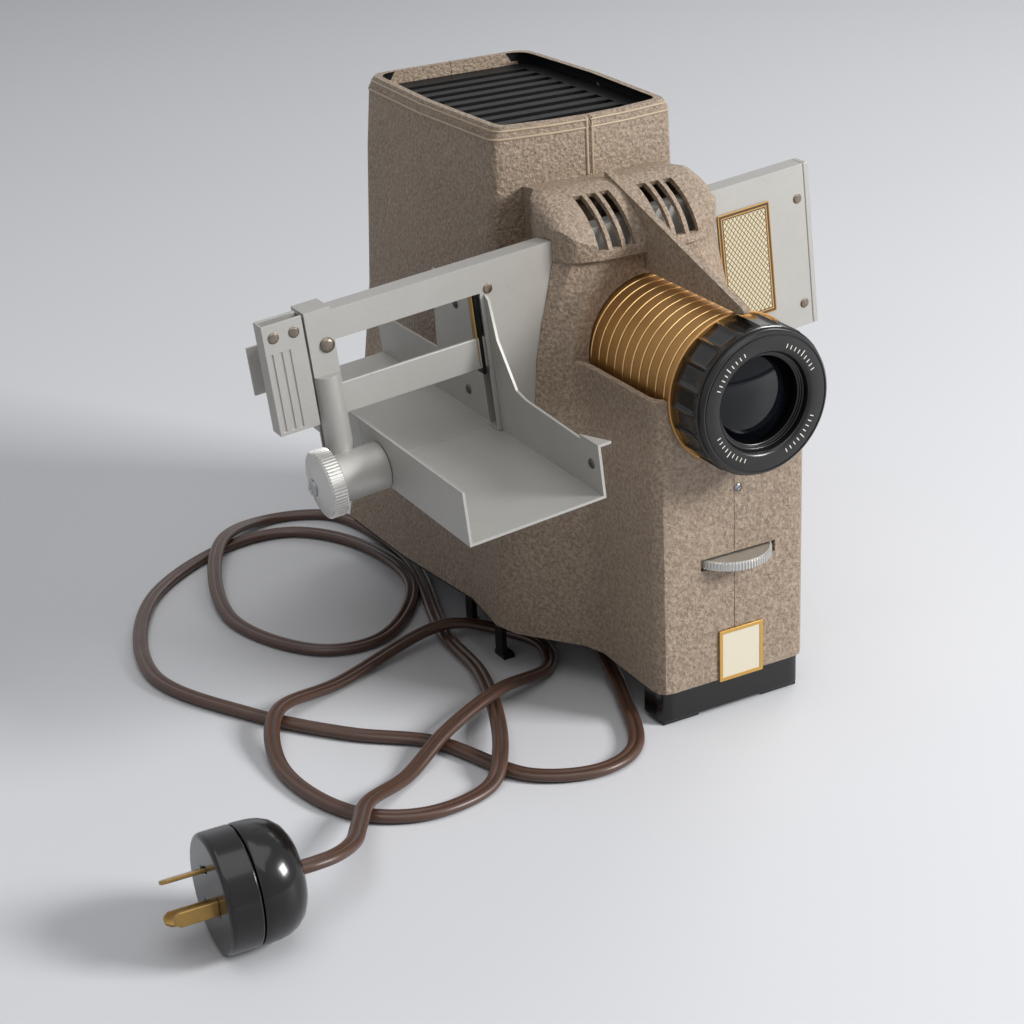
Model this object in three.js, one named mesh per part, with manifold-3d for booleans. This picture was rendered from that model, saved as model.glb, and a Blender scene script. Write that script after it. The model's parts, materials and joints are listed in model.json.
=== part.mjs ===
// A slide projector of the 1950s with a hand-worked slide changer, in millimetres, +Z up.
// It is built on a bench frame: x runs to the viewer's right, y runs back from the front of the lens,
// z = 0 is the table. At the end everything is moved so that the origin lies on the table,
// under the middle of the box that the projector fills without its cord.

import * as THREE from 'three';
import { mergeVertices } from 'three/addons/utils/BufferGeometryUtils.js';
import Module from 'manifold-3d';

const wasm = await Module();
wasm.setup();

// Standing gaps and cutters
const gap = 0.3;                    // between a piece and its seat
const runningGap = 0.5;             // between a moving piece and what it passes
const overrun = 4;                  // how far a cutter runs past what it cuts

// Heights, stacked from the table up
const noseBottom = 16.5;            // table to the lower edge of the nose
const bodyStep = 5;                 // edge of the nose to the edge of the lamp house
const blowerRise = 12.5;            // edge of the lamp house to the motor
const motorHeight = 24;
const deckRise = 12;                // motor to the lamp deck
const lampBaseRise = 28;            // lamp deck to the top of the lamp's base
const filamentRise = 53.5;          // top of the lamp's base to the lens axis
const gateRise = 42;                // lens axis to the top of the gate housing
const hoodHeight = 25.5;            // gate housing to the crest of the hood
const houseStep = 24.3;             // crest of the hood to the rim of the lamp house
const bodyBottom = noseBottom + bodyStep;
const motorBottom = bodyBottom + blowerRise;
const deckHeight = motorBottom + motorHeight + deckRise;
const lampBaseTop = deckHeight + lampBaseRise;
const lensAxisHeight = lampBaseTop + filamentRise;
const gateTop = lensAxisHeight + gateRise;
const hoodTop = gateTop + hoodHeight;
const houseTop = hoodTop + houseStep;
const wheelRise = 55.1;             // edge of the nose to the foot's wheel
const wheelHeight = noseBottom + wheelRise;
const switchDrop = 18;              // lamp deck to the middle of the switch
const switchHeight = deckHeight - switchDrop;
const badgeDrop = 0.9;              // how far the front badge hangs below the nose
const badgeLow = noseBottom - badgeDrop;

// Places along the lens axis, counted back from the front of the face ring
const noseFront = 23.2;             // front face of the nose
const footSetback = 1.7;            // face of the nose to the foot
const wheelSetback = 8.7;           // face of the nose to the wheel's axis
const hoodFront = 86.5;             // lower front edge of the hood
const changerSetback = 13.5;        // hood's edge to the changer's front sheet
const changerDepth = 9.2;
const barrelSetback = 6;            // end of the lens barrel to the changer
const tubeSetback = 4;              // end of the lens tube to the end of the barrel
const rearGlassSetback = 12;        // rear glass to the end of the lens tube
const flareLengthLow = 54;          // how long the nose takes to widen, at the lower edge
const flareLengthHigh = 36;         // the same at the top
const flareReachLow = 14;           // changer's front sheet to the end of the widening, at the lower edge
const flareReachHigh = 12;
const gateSetback = 3.5;            // hood's edge to the front of the gate housing below it
const gateSideSetback = 20;         // front of the gate housing to its flat side
const hoodDepth = 33.5;             // hood's edge to its crest
const finRootStep = 1.5;            // crest of the hood to the back end of the fin's top edge
const houseSetback = 20.5;          // crest of the hood to the lamp house
const condenserSetback = 5.5;       // lamp house to the condenser
const heatGlassSetback = 14;
const lampSetback = 54;             // heat glass to the lamp's axis
const reflectorSetback = 32;        // lamp's axis to the back of the reflector
const rearClearance = 26;           // reflector to the rear wall's outside
const footFront = noseFront + footSetback;
const wheelBack = noseFront + wheelSetback;
const changerFront = hoodFront + changerSetback;
const barrelEnd = changerFront - barrelSetback;
const tubeEnd = barrelEnd - tubeSetback;
const rearGlassPlace = tubeEnd - rearGlassSetback;
const flareEndLow = changerFront + flareReachLow;
const flareEndHigh = changerFront + flareReachHigh;
const flareStartLow = flareEndLow - flareLengthLow;
const flareStartHigh = flareEndHigh - flareLengthHigh;
const gateFront = hoodFront + gateSetback;
const gateSide = gateFront + gateSideSetback;
const hoodCrown = hoodFront + hoodDepth;
const finRoot = hoodCrown + finRootStep;
const houseFront = hoodCrown + houseSetback;
const condenserFront = houseFront + condenserSetback;
const heatGlassBack = condenserFront + heatGlassSetback;
const lampBack = heatGlassBack + lampSetback;
const reflectorBack = lampBack + reflectorSetback;
const houseBack = reflectorBack + rearClearance;

// Cast housing
const wall = 3;                     // thickness of the castings
const seamGap = 0.3;                // between the left and the right casting
const noseHalfWidth = 37.9;
const noseCorner = 7;
const noseTopRise = 0.3;            // how far the nose walls stand above the lens axis
const shoulderHalfLow = 70;         // half width at the end of the flare, at the lower edge
const shoulderHalfHigh = 53;        // where that line would end at the height of the gate housing's top
const gateHalfWidth = 43;           // gate housing under the hood
const neckHalfWidth = 32;           // where the gate housing meets the lamp house
const houseTopHalf = 43.15;         // half width at the rim
const houseFrontHalfLow = 66;       // half width at the front corners, at the lower edge
const houseBackHalfLow = 74;        // half width at the rear corners, at the lower edge
const houseFrontCorner = 6;
const houseBackCorner = 10;
const houseFrontBow = 4.2;          // how far the front wall bulges at its middle
const houseSideBow = 2.2;
const houseHeightShares = [0, 0.09, 0.28, 0.54, 0.848, 0.98, 1];
const houseBackShares = [1, 0.854, 0.611, 0.34, 0.2, 0.1, 0];
const houseFrontShares = [1, 0.88, 0.62, 0.34, 0.16, 0.12, 0];
const flareOutShares = [0, 0.02, 0.15, 0.5, 0.85, 1];
const flareBackShares = [0, 0.19, 0.36, 0.58, 0.8, 1];
// Gate housing: its rounded front corner out and back, its rounded rear corner out and back
const gateOutShares = [0.56, 0.81, 0.95, 1];
const gateBackShares = [0.03, 0.16, 0.45, 1];
const neckOutShares = [0.73, 0.18];
const neckBackShares = [0.25, 0.47];
const gateLevelShares = [0, 0.36, 0.7, 0.9];
const gateLean = 1.5;               // 1 narrows evenly towards the top, more narrows late

// Hood with its louvres and fin
const hoodWall = 2.6;
const hoodSideRound = 9;            // how soft the roof is along its two sides
const hoodSideShares = [0, 0.07, 0.22, 0.5, 1];
const hoodLipGrowth = 1;            // how far the lip would run on forward if it went up to the crest
const hoodLipShares = [1, 0.9, 0.65, 0.25, 0];
const hoodArcSteps = 9;
const hoodCurve = 1.15;             // 1 is an ellipse, more is flatter
const hoodFall = 3;                 // crest of the hood to where it meets the lamp house
const louvreInner = 7;              // middle to the first slot
const louvreOuter = 25;             // middle to the end of the last slot
const louvreCount = 3;
const louvreBar = 2;                // bar between two slots
const louvreHighShare = 0.93;       // slot ends, as shares of the hood's curved height
const louvreLowShare = 0.17;
const finHalfThickness = 1.6;
const finRise = 2.8;                // crest of the hood to the back end of the fin's top edge
const finTip = 13.5;
const finTipHeight = 3.4;
const flangeRadius = 32.9;          // thin ring behind the focusing knob
const finClearance = 0.7;           // the flange to the fin above it
const finUnderside = flangeRadius + finClearance;
const finTipRound = 2.4;
const hoodClipRadius = 3.4;
const hoodClipLength = 5;
const hoodClipDrop = 4.4;           // top of the gate housing to the clip

// Top grille
const grilleDrop = 6;               // rim to the grille
const grilleThickness = 1.5;
const grilleFlange = 5;
const grilleSlats = 10;
const grilleSlatHeight = 4;
const grilleSlatShare = 0.5;        // width of a slat as a share of the pitch

// Base
const plateThickness = 1.6;
const plateInset = 1.2;
const legThickness = 2.5;
const legWidth = 7;
// Legs: share of the way from the flare's end to the rear wall, and of the half width there
const legBackShares = [0.0562, 0.281, 0.87];
const legSideShares = [0.9, 0.845, 0.6];
const padHeight = 2.4;
const padHalf = 4.5;
const intakeRadius = 24;
const intakeBarCount = 3;
const intakeBar = 3;

// Elevating front foot
const footHalfWidth = 36.5;
const footDepth = 15;
const footCorner = 6;
const footPadLength = 20;
const footPadInset = 1.5;
const footPadHeight = 2;
const footSocket = 7;
const footTravel = 18;
const wheelRadius = 19.4;
const wheelThickness = 4.2;
const wheelSide = 2;                // the wheel stands a little to the right of the seam
const wheelTeeth = 40;
const wheelToothDepth = 0.7;
const screwRadius = 3;
const guidePinRadius = 2;
const guidePinSpacing = 24;
const bearingRadius = 8;
const bearingThickness = 3;
const wheelSlotGap = 0.6;

// Lens
const knobRadius = 32.3;
const knobFlutes = 20;
const knobFluteDepth = 1.1;
const knobBevel = 1.3;
const knobTurnShares = [0, 0.12, 0.5, 0.62];
const knobSinkShares = [1, 0, 0, 1];
const flangeThickness = 1.5;
const barrelRadius = 31.7;
const barrelWall = 2.2;
const barrelGrooves = 10;
const grooveFirst = 27.5;           // lens front to the first groove
const grooveTail = 8;               // last groove to the end of the barrel
const groovePitch = (barrelEnd - grooveTail - grooveFirst) / (barrelGrooves - 1);
const grooveDepth = 0.7;
const grooveWidth = 1.1;
const ringFace = 31;                // outer radius of the flat face ring
const ringInner = 21.4;
const ringThickness = 2.6;
const ringBevel = 1;
const tubeWall = 1.8;
const cellDepth = 34;
const retainerInner = 18.9;
const retainerThickness = 2.5;
const glassRadius = 20.9;
const frontGlassEdge = 3;
const frontGlassCrown = 4.5;
const middleGlassEdge = 7;
const middleGlassCentre = 2.6;
const bulgeSteps = 4;
const rearGlassRadius = 18;
const guideScrewRadius = 1.7;
const guideScrewSide = 2;
const guideScrewDrop = 45.7;        // below the lens axis

// Front badge
const badgeWidth = 22.6;
const badgeHeight = 24.6;
const badgeThickness = 0.8;
const badgeSide = 3;

// Lamp and light path
const deckThickness = 1.5;
const deckInset = 3.5;
const bulbRadius = 15.5;
const bulbWall = 1;
const bulbRise = 52;                // crown above the lens axis
const bulbNeckRadius = 11;
const lampBaseRadius = 13;
const lampBaseDepth = 12;
const socketRadius = 18;
const socketHeight = 14;
const filamentHalf = 4.5;
const filamentThickness = 1.2;
const filamentPost = 0.7;
const reflectorRadius = 25;
const reflectorDepth = 8;
const reflectorThickness = 1.6;
const reflectorStalk = 4;
const deckVentShares = [0.18, 0.45, 0.72];
const deckVentWidth = 12;
const deckVentLength = 22;
const condenserRadius = 24;
const condenserBulgeShare = 0.6;
const condenserThickness = 11;
const condenserSpacing = 25;
const heatGlassThickness = 3;
const carrierHalfWidth = 29;
const carrierThickness = 3;
const carrierFoot = 12;

// Blower
const motorRadius = 23;
const motorMargin = 6;
const fanRadius = 33;
const fanHeight = 9;
const fanBlades = 8;
const fanHub = 9;
const fanBladeThickness = 1.6;
const shaftRadius = 2;
const bracketThickness = 2;
const bracketWidth = 16;

// Switch at the back, guessed
const switchBodyHalf = 9;
const switchDepth = 16;
const switchNutRadius = 6;
const switchNutLength = 3;
const leverRadius = 2.2;
const leverLength = 14;
const leverBall = 4;

// Changer, in its own tilted frame: x along its length, z up from its top edge
const changerTilt = 5.31;           // degrees, the left end hangs lower
const changerTopRise = 54.9;        // lens axis to the top edge, straight above the axis
const changerHeight = 76.8;
const sheet = 1.2;
const changerLeft = -156;
const changerRight = 88.7;
const windowLeft = -146;
const windowRight = -78;
const windowTop = -13;
const apertureHalf = 19;
const endStripThickness = 2.6;
const panelLeft = 42.6;
const panelRight = 69.1;
const panelTop = -12;
const panelBottom = -64.6;
const panelThickness = 0.4;
const rivetRadius = 2.3;
const rivetRise = 1.1;
const rivetInset = 4;
const endRivetDrop = 15.5;
const rivetLow = 10.9;

// Post with the knob's bearing
const postLeft = -158;
const postRight = -146.2;
const postProud = 1.5;
const postCap = 2.2;
const postRibTop = 26;
const postScrewRadius = 2.9;
const postScrewPlace = [-150, -13.6];
const bossRadius = 10.3;
const bossSetback = 8;              // axis of the knob to the changer's front sheet
const bossBack = changerFront - bossSetback;
const bossDrop = -69.9;
const bossLeft = -159;
const dialRadius = 14.7;
const dialThickness = 6.8;
const dialCone = 2.8;
const dialTeeth = 48;
const dialToothDepth = 0.5;
const dialScrewRadius = 3.3;
const dialScrewRise = 1.4;
const dialShaftRadius = 3;
const pinionRadius = 5.6;
const pinionTeeth = 14;
const pinionToothDepth = 1.2;
const pinionLength = 4;

// Shuttle with its handle
const shuttleTop = -33;
const shuttleHeight = 14;
const shuttleThickness = 1.8;
const shuttleStart = -176;
const shuttleEnd = -33;
const handleLeft = -177.2;
const handleRight = -159.4;
const handleTop = 2.4;
const handleBottom = -45.9;
const handleSetback = 3;            // front of the handle to the changer's front sheet
const handleFront = changerFront - handleSetback;
const handleSheet = 1.5;
const handleRivetRadius = 2.4;
const handleRivetShares = [[0.25, 0.12], [0.76, 0.12]];
const handleGrooveShares = [0.13, 0.36, 0.56];
const handleGrooveTopShare = 0.26;
const handleGrooveDepth = 0.5;
const handleGrooveWidth = 1.6;

// Tray guide that crosses the changer
const guideReachFront = 85.7;       // how far the guide runs before the changer
const guideReachBack = 121;         // how far it runs behind the changer's front sheet
const guideFront = changerFront - guideReachFront;
const guideBack = changerFront + guideReachBack;
const guideLeft = -137.6;
const guideRight = -75;
const guideWallTop = -54.4;
const guideHighTop = -14;
const guideFrontShares = [[0, 0], [0, 0.37], [0.19, 0.34], [0.7, 0.37], [0.79, 0.4], [0.93, 0.7], [0.97, 0.97], [1, 1], [1, 0]];
const guideRearShares = [[0, 0], [0, 1], [0.36, 0.98], [0.42, 0.36], [1, 0.34], [1, 0]];
const guideEar = 5;
const guideFlangeReach = 6;
const guidePinPlace = [7, -65];     // behind the guide's front end, and height
const guideScrewPlaces = [[30, -26.5], [29, -67]];

// Mains lead and plug
const cordWidth = 7.2;
const cordThickness = 4;
const cordSides = 8;
const cordSteps = 78;
const reliefLength = 22;
const reliefRadius = 5.2;
const plugRadius = 23.5;
const plugBaseLength = 13;
const plugCapLength = 22;
const plugSeam = 0.3;
const plugEdge = 1.2;
const bladeWidth = 6.3;
const bladeThickness = 1.6;
const bladeLength = 17;
const bladeSpread = 9.5;
const bladeSocket = 6;
const bladeAngleShares = [0.08, 0.42, 0.75];
const cordRoute = [
    [-24, 108, 10], [-39.5, 52.4, 4.4], [-57.6, 13.8, 2.7], [-77.8, 6, 2.7], [-105.5, 18.4, 2.7],
    [-127.3, 64.8, 2.7], [-155.3, 91.3, 2.7], [-185.8, 132.2, 2.7], [-209.9, 190, 2.7], [-182.9, 266.8, 2.7],
    [-128.4, 304.1, 2.7], [-93.5, 302.9, 2.7], [-69.7, 271.3, 2.7], [-66.5, 211.2, 2.7], [-104.7, 166.1, 2.7],
    [-133.3, 170.2, 2.7], [-157.4, 223.5, 2.7], [-131.2, 301.7, 7.9], [-95.7, 323.8, 2.7], [-65.4, 309.1, 2.7],
    [-55.5, 239.8, 2.7], [-78, 152, 2.7], [-82, 108, 2.7], [-112, 33, 7.9], [-123.9, 20, 2.7],
    [-155.3, 14.5, 2.7], [-181.2, 31.7, 2.7], [-192.4, 80.4, 2.7], [-177.7, 118.5, 7.9], [-140.4, 136.4, 2.7],
    [-76, 152.1, 7.9], [-52.2, 140.3, 2.7], [-44.4, 118.3, 2.7], [-53.8, 95.9, 3.4], [-87.6, 79.1, 9.9],
    [-123.3, 61.6, 7.9], [-150, 45.1, 3], [-175.9, 27.9, 7.9], [-189.3, 6.8, 13.2],
    [-200.7, -12.4, 18.8], [-212.5, -22.7, 22.8], [-222.1, -25.2, 24], [-228, -25, 24],
];

// Colours as they look under plain light
const finish = (color, roughness, metalness) => new THREE.MeshStandardMaterial({ color, roughness, metalness });
const paint = finish(0x85796c, 0.62, 0.1);
const aluminium = finish(0xb9b9b6, 0.35, 0.9);
const gold = finish(0xb98a45, 0.3, 0.9);
const blackGloss = finish(0x121112, 0.18, 0);
const blackPaint = finish(0x1b1a1a, 0.55, 0.1);
const brass = finish(0xb59a5b, 0.3, 0.9);
const steel = finish(0x8d8f92, 0.35, 0.9);
const glass = finish(0xbfc8d8, 0.05, 0);
const cream = finish(0xe9e2cf, 0.5, 0);
const cable = finish(0x4b3429, 0.6, 0);
const mirror = finish(0xe6e6e6, 0.05, 1);

// Shapes
const radians = THREE.MathUtils.degToRad;
const mix = (a, b, t) => a + (b - a) * t;

function box(x0, x1, y0, y1, z0, z1) {
    const shape = new THREE.BoxGeometry(x1 - x0, y1 - y0, z1 - z0);
    return shape.translate((x0 + x1) / 2, (y0 + y1) / 2, (z0 + z1) / 2);
}

// Turns a shape that stands along z so that it lies along x or y.
function lay(shape, axis) {
    if (axis === 'x') shape.rotateY(Math.PI / 2);
    if (axis === 'y') shape.rotateX(-Math.PI / 2);
    return shape;
}

// A turned piece: its profile is a list of [radius, place along the axis].
function turned(profile, axis = 'z', sides = 40) {
    const shape = new THREE.LatheGeometry(profile.map(([r, a]) => new THREE.Vector2(r, a)), sides);
    shape.rotateX(Math.PI / 2);
    return lay(shape, axis);
}

const rod = (radius, from, to, axis, sides = 24) =>
    turned([[0, from], [radius, from], [radius, to], [0, to]], axis, sides);

const tubeRing = (outer, inner, from, to, axis, sides = 40) =>
    turned([[inner, from], [outer, from], [outer, to], [inner, to], [inner, from]], axis, sides);

// A plate cut to an outline of [a, b] points: across x it lies in y and z, across y in x and z, across z in x and y.
function plate(points, from, to, across = 'z') {
    const outline = new THREE.Shape(points.map(([a, b]) => new THREE.Vector2(a, b)));
    const shape = new THREE.ExtrudeGeometry(outline, { depth: to - from, bevelEnabled: false, curveSegments: 12 });
    shape.translate(0, 0, from);
    if (across === 'y') shape.rotateX(Math.PI / 2).scale(1, -1, 1);
    if (across === 'x') shape.rotateY(Math.PI / 2).rotateX(Math.PI / 2);
    return across === 'y' ? flipped(shape) : shape;
}

// Turns a mirrored shape's faces outward again.
function flipped(shape) {
    const plain = shape.index ? shape.toNonIndexed() : shape;
    const place = plain.attributes.position;
    for (let i = 0; i < place.count; i += 3) {
        const b = new THREE.Vector3().fromBufferAttribute(place, i + 1);
        const c = new THREE.Vector3().fromBufferAttribute(place, i + 2);
        place.setXYZ(i + 1, c.x, c.y, c.z);
        place.setXYZ(i + 2, b.x, b.y, b.z);
    }
    return plain;
}

// A toothed disc along an axis.
function toothed(radius, depth, teeth, from, to, axis) {
    const points = [];
    for (let i = 0; i < teeth * 2; i += 1) {
        const angle = i * Math.PI / teeth;
        const r = i % 2 ? radius - depth : radius;
        points.push([r * Math.cos(angle), r * Math.sin(angle)]);
    }
    return lay(plate(points, from, to), axis);
}

// A closed body through a stack of level outlines, each with the same number of points.
function loft(levels) {
    const count = levels[0].points.length;
    const place = [];
    const index = [];
    for (const level of levels) for (const [x, y] of level.points) place.push(x, y, level.z);
    for (let k = 0; k + 1 < levels.length; k += 1) {
        for (let i = 0; i < count; i += 1) {
            const a = k * count + i;
            const b = k * count + (i + 1) % count;
            index.push(a, b, b + count, a, b + count, a + count);
        }
    }
    const cap = (level, start, up) => {
        const flat = level.points.map(([x, y]) => new THREE.Vector2(x, y));
        for (const [a, b, c] of THREE.ShapeUtils.triangulateShape(flat, [])) {
            if (up) index.push(start + a, start + b, start + c);
            else index.push(start + c, start + b, start + a);
        }
    };
    cap(levels[0], 0, false);
    cap(levels[levels.length - 1], (levels.length - 1) * count, true);
    const shape = new THREE.BufferGeometry();
    shape.setAttribute('position', new THREE.Float32BufferAttribute(place, 3));
    shape.setIndex(index);
    return shape;
}

// Cuts and joins
function solid(shape) {
    const bare = shape.clone();
    bare.deleteAttribute('normal');
    bare.deleteAttribute('uv');
    const merged = mergeVertices(bare);
    return new wasm.Manifold(new wasm.Mesh({
        numProp: 3,
        vertProperties: new Float32Array(merged.attributes.position.array),
        triVerts: new Uint32Array(merged.index.array),
    }));
}

function shapeOf(body) {
    const mesh = body.getMesh();
    const shape = new THREE.BufferGeometry();
    shape.setAttribute('position', new THREE.Float32BufferAttribute(mesh.vertProperties, 3));
    shape.setIndex(new THREE.Uint32BufferAttribute(mesh.triVerts, 1));
    return shape;
}

const joined = (...shapes) => shapes.map(solid).reduce((a, b) => a.add(b));
const cut = (body, ...shapes) => shapes.reduce((a, b) => a.subtract(solid(b)), body);

// Adds a named piece to a group.
function piece(group, name, body, material) {
    const shape = body.isBufferGeometry ? body : shapeOf(body);
    if (!shape.attributes.normal) shape.computeVertexNormals();
    const mesh = new THREE.Mesh(shape, material);
    mesh.name = name;
    group.add(mesh);
    return mesh;
}

// Samples of a soft corner from a to b, drawn towards its point.
function corner(a, point, b, steps = 4) {
    const bend = new THREE.QuadraticBezierCurve(new THREE.Vector2(...a), new THREE.Vector2(...point), new THREE.Vector2(...b));
    return bend.getPoints(steps).map((p) => [p.x, p.y]);
}

// Mirrors a half outline, listed from the front to the back at x >= 0, into a closed outline.
function mirrored(half) {
    const left = half.filter(([x]) => x > 0).map(([x, y]) => [-x, y]).reverse();
    return [...half, ...left];
}

// Reads a list of shares at a place between 0 and 1.
function shareAt(places, shares, t) {
    for (let i = 1; i < places.length; i += 1) {
        if (t <= places[i]) return mix(shares[i - 1], shares[i], (t - places[i - 1]) / (places[i] - places[i - 1]));
    }
    return shares[shares.length - 1];
}

// Housing
const houseShare = (z) => (z - bodyBottom) / (houseTop - bodyBottom);
const houseBackHalf = (z) =>
    mix(houseTopHalf, houseBackHalfLow, shareAt(houseHeightShares, houseBackShares, houseShare(z)));
const houseFrontHalf = (z) =>
    mix(houseTopHalf, houseFrontHalfLow, shareAt(houseHeightShares, houseFrontShares, houseShare(z)));

function houseOutline(z, inset) {
    const front = houseFront + inset;
    const back = houseBack - inset;
    const frontHalf = houseFrontHalf(z) - inset;
    const backHalf = houseBackHalf(z) - inset;
    const half = [[0, front - houseFrontBow]];
    half.push([(frontHalf - houseFrontCorner) / 2, front - houseFrontBow * 3 / 4]);
    half.push(...corner([frontHalf - houseFrontCorner, front], [frontHalf, front], [frontHalf, front + houseFrontCorner], 3));
    half.push([(frontHalf + backHalf) / 2 + houseSideBow, (front + back) / 2]);
    half.push(...corner([backHalf, back - houseBackCorner], [backHalf, back], [backHalf - houseBackCorner, back], 5));
    half.push([0, back]);
    return mirrored(half);
}

function houseLoft(inset, from, to) {
    const heights = houseHeightShares.map((t) => mix(bodyBottom, houseTop, t)).filter((z) => z > from && z < to);
    return loft([from, ...heights, to].map((z) => ({ z, points: houseOutline(z, inset) })));
}

// The nose widens backwards into the lamp house.
const noseTop = lensAxisHeight + noseTopRise;
const frontShare = (z) => THREE.MathUtils.clamp((z - noseBottom) / (gateTop - noseBottom), 0, 1);

// The flare at one height: the line of its shoulder and where it meets the lamp house.
function flareAt(z, inset) {
    const t = frontShare(z);
    const start = mix(flareStartLow, flareStartHigh, t) + inset;
    const end = mix(flareEndLow, flareEndHigh, t);
    const shoulder = mix(shoulderHalfLow, shoulderHalfHigh, t) - inset;
    const nose = noseHalfWidth - inset;
    const points = flareOutShares.map((share, i) => [mix(nose, shoulder, share), mix(start, end, flareBackShares[i])]);
    const joinAt = houseFront + houseFrontCorner + inset;
    const joinHalf = Math.min(houseFrontHalf(Math.max(z, bodyBottom)) - inset, shoulder);
    return { points, joinAt, joinHalf };
}

function noseOutline(z, inset) {
    const { points, joinAt, joinHalf } = flareAt(z, inset);
    const front = noseFront + inset;
    const nose = noseHalfWidth - inset;
    const turn = corner([nose - noseCorner, front], [nose, front], [nose, front + noseCorner], 3);
    return mirrored([[0, front], ...turn, ...points, [joinHalf, joinAt], [0, joinAt]]);
}

// Above the lens the shoulders draw in until they stand free of the lamp house. A lip pushes the front forward.
function gateOutline(z, inset, lip = 0) {
    const { points, joinAt, joinHalf } = flareAt(z, inset);
    const drawn = THREE.MathUtils.clamp((z - noseTop) / (gateTop - noseTop), 0, 1) ** gateLean;
    const flare = points.slice(-gateOutShares.length);
    const front = gateFront + inset;
    const side = gateHalfWidth - inset;
    const half = flare.map(([x, y], i) => [mix(x, side * gateOutShares[i], drawn),
        mix(y, mix(front, gateSide, gateBackShares[i]) - lip * hoodLipShares[i + 1], drawn)]);
    const shoulder = half[half.length - 1];
    const join = mix(joinHalf, neckHalfWidth - inset, drawn);
    const neck = neckBackShares.map((share, i) => [mix(join, shoulder[0], mix(1 - share, neckOutShares[i], drawn)),
        mix(shoulder[1], joinAt, share)]);
    const first = mix(flare[0][1], front - lip * hoodLipShares[0], drawn);
    return mirrored([[0, first], ...half, ...neck, [join, joinAt], [0, joinAt]]);
}

function noseLoft(inset, from, to) {
    const levels = gateLevelShares.map((t) => mix(from, to, t));
    return loft([...levels, to].map((z) => ({ z, points: noseOutline(z, inset) })));
}

function gateLoft(inset, from, to) {
    const levels = gateLevelShares.map((t) => mix(noseTop, to, t));
    return loft([from, ...levels, to].map((z) => ({ z, points: gateOutline(z, inset) })));
}

const changerRise = lensAxisHeight + changerTopRise;
const changerBack = changerFront + changerDepth;
const far = houseBack * 2;

// Moves a shape from the changer's tilted frame into the bench frame.
const fromChanger = (shape) => shape.rotateY(-radians(changerTilt)).translate(0, 0, changerRise);

// Moves a shape from the bench frame into the changer's tilted frame.
const toChanger = (shape) => shape.translate(0, 0, -changerRise).rotateY(radians(changerTilt));

// The room that the changer takes up in the housing and the hood, with its standing gap.
const changerRoom = () =>
    fromChanger(box(-far, far, changerFront - gap, changerBack + gap, -changerHeight - gap, gap));

const alongLens = (radius, from, to, sides) =>
    rod(radius, from, to, 'y', sides).translate(0, 0, lensAxisHeight);

// Half the length of the slot that the wheel needs where it leaves the nose.
const wheelSlotHalf = Math.sqrt(wheelRadius ** 2 - (wheelBack - noseFront - wall) ** 2) + runningGap;

function buildHousing(group) {
    let body = joined(houseLoft(0, bodyBottom, houseTop), noseLoft(0, noseBottom, noseTop),
        gateLoft(0, noseTop - overrun, gateTop));
    body = cut(body, houseLoft(wall, 0, houseTop + overrun), noseLoft(wall, 0, noseTop - overrun),
        gateLoft(wall, noseTop - overrun * 2, gateTop - wall));
    body = body.subtract(cut(solid(noseLoft(wall, noseTop - overrun * 2, noseTop + overrun)),
        gateLoft(0, noseTop - overrun, gateTop)));
    body = cut(body, plate([[flareStartLow, 0], [far, 0], [far, bodyBottom], [flareEndLow, bodyBottom],
        [flareStartLow, noseBottom]], -far, far, 'x'));
    body = cut(body, alongLens(barrelRadius + gap, 0, hoodCrown, 48), changerRoom());
    body = cut(body, box(wheelSide - wheelSlotHalf, wheelSide + wheelSlotHalf, 0, noseFront + wall + overrun,
        wheelHeight - wheelSlotGap, wheelHeight + wheelThickness + wheelSlotGap));
    body = cut(body, rod(guideScrewRadius + gap, 0, noseFront + wall + overrun, 'y')
        .translate(guideScrewSide, 0, lensAxisHeight - guideScrewDrop));
    body = cut(body, rod(switchNutRadius + gap, houseBack - wall - overrun, far, 'y').translate(0, 0, switchHeight));
    const half = seamGap / 2;
    piece(group, 'housing_left', body.intersect(solid(box(-far, -half, -far, far, -far, far))), paint);
    piece(group, 'housing_right', body.intersect(solid(box(half, far, -far, far, -far, far))), paint);
}

// Reads a share of a quarter turn off the hood's curve.
const hoodBend = (share) => share ** hoodCurve;

// The hood's side view, drawn in by an inset.
function hoodProfile(inset) {
    const low = gateTop + gap;
    const back = hoodTop - hoodFall - inset;
    const side = [[hoodFront + inset, low - overrun]];
    for (let i = 0; i <= hoodArcSteps; i += 1) {
        const angle = i / hoodArcSteps * Math.PI / 2;
        side.push([hoodCrown - (hoodCrown - hoodFront - inset) * hoodBend(Math.cos(angle)),
            low + (hoodTop - low - inset) * hoodBend(Math.sin(angle))]);
    }
    return [...side, [houseFront, back], [far, back], [far, low - overrun]].reverse();
}

// The hood is the gate housing's outline, with a lip, under a roof that is soft all along its two sides.
function hoodBlock(inset) {
    const foot = gateTop + (inset ? gap - overrun : gap);
    const plan = loft([[foot, 0], [hoodTop + overrun, hoodLipGrowth]].map(([z, growth]) =>
        ({ z, points: gateOutline(gateTop, inset, gateSetback + growth) })));
    const half = gateHalfWidth - inset;
    const edge = { z: half + overrun, points: hoodProfile(inset + hoodSideRound) };
    const stations = [edge, ...hoodSideShares.map((share) => {
        const drop = hoodSideRound * (1 - Math.sqrt(1 - (1 - share) ** 2));
        return { z: half - hoodSideRound * share, points: hoodProfile(inset + drop) };
    })];
    const leftward = stations.map(({ z, points }) => ({ z: -z, points }));
    const roof = loft([...leftward, ...stations.reverse()]);
    const across = new THREE.Matrix4().set(0, 0, 1, 0, 1, 0, 0, 0, 0, 1, 0, 0, 0, 0, 0, 1);
    return solid(plan).intersect(solid(roof.applyMatrix4(across)));
}

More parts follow.
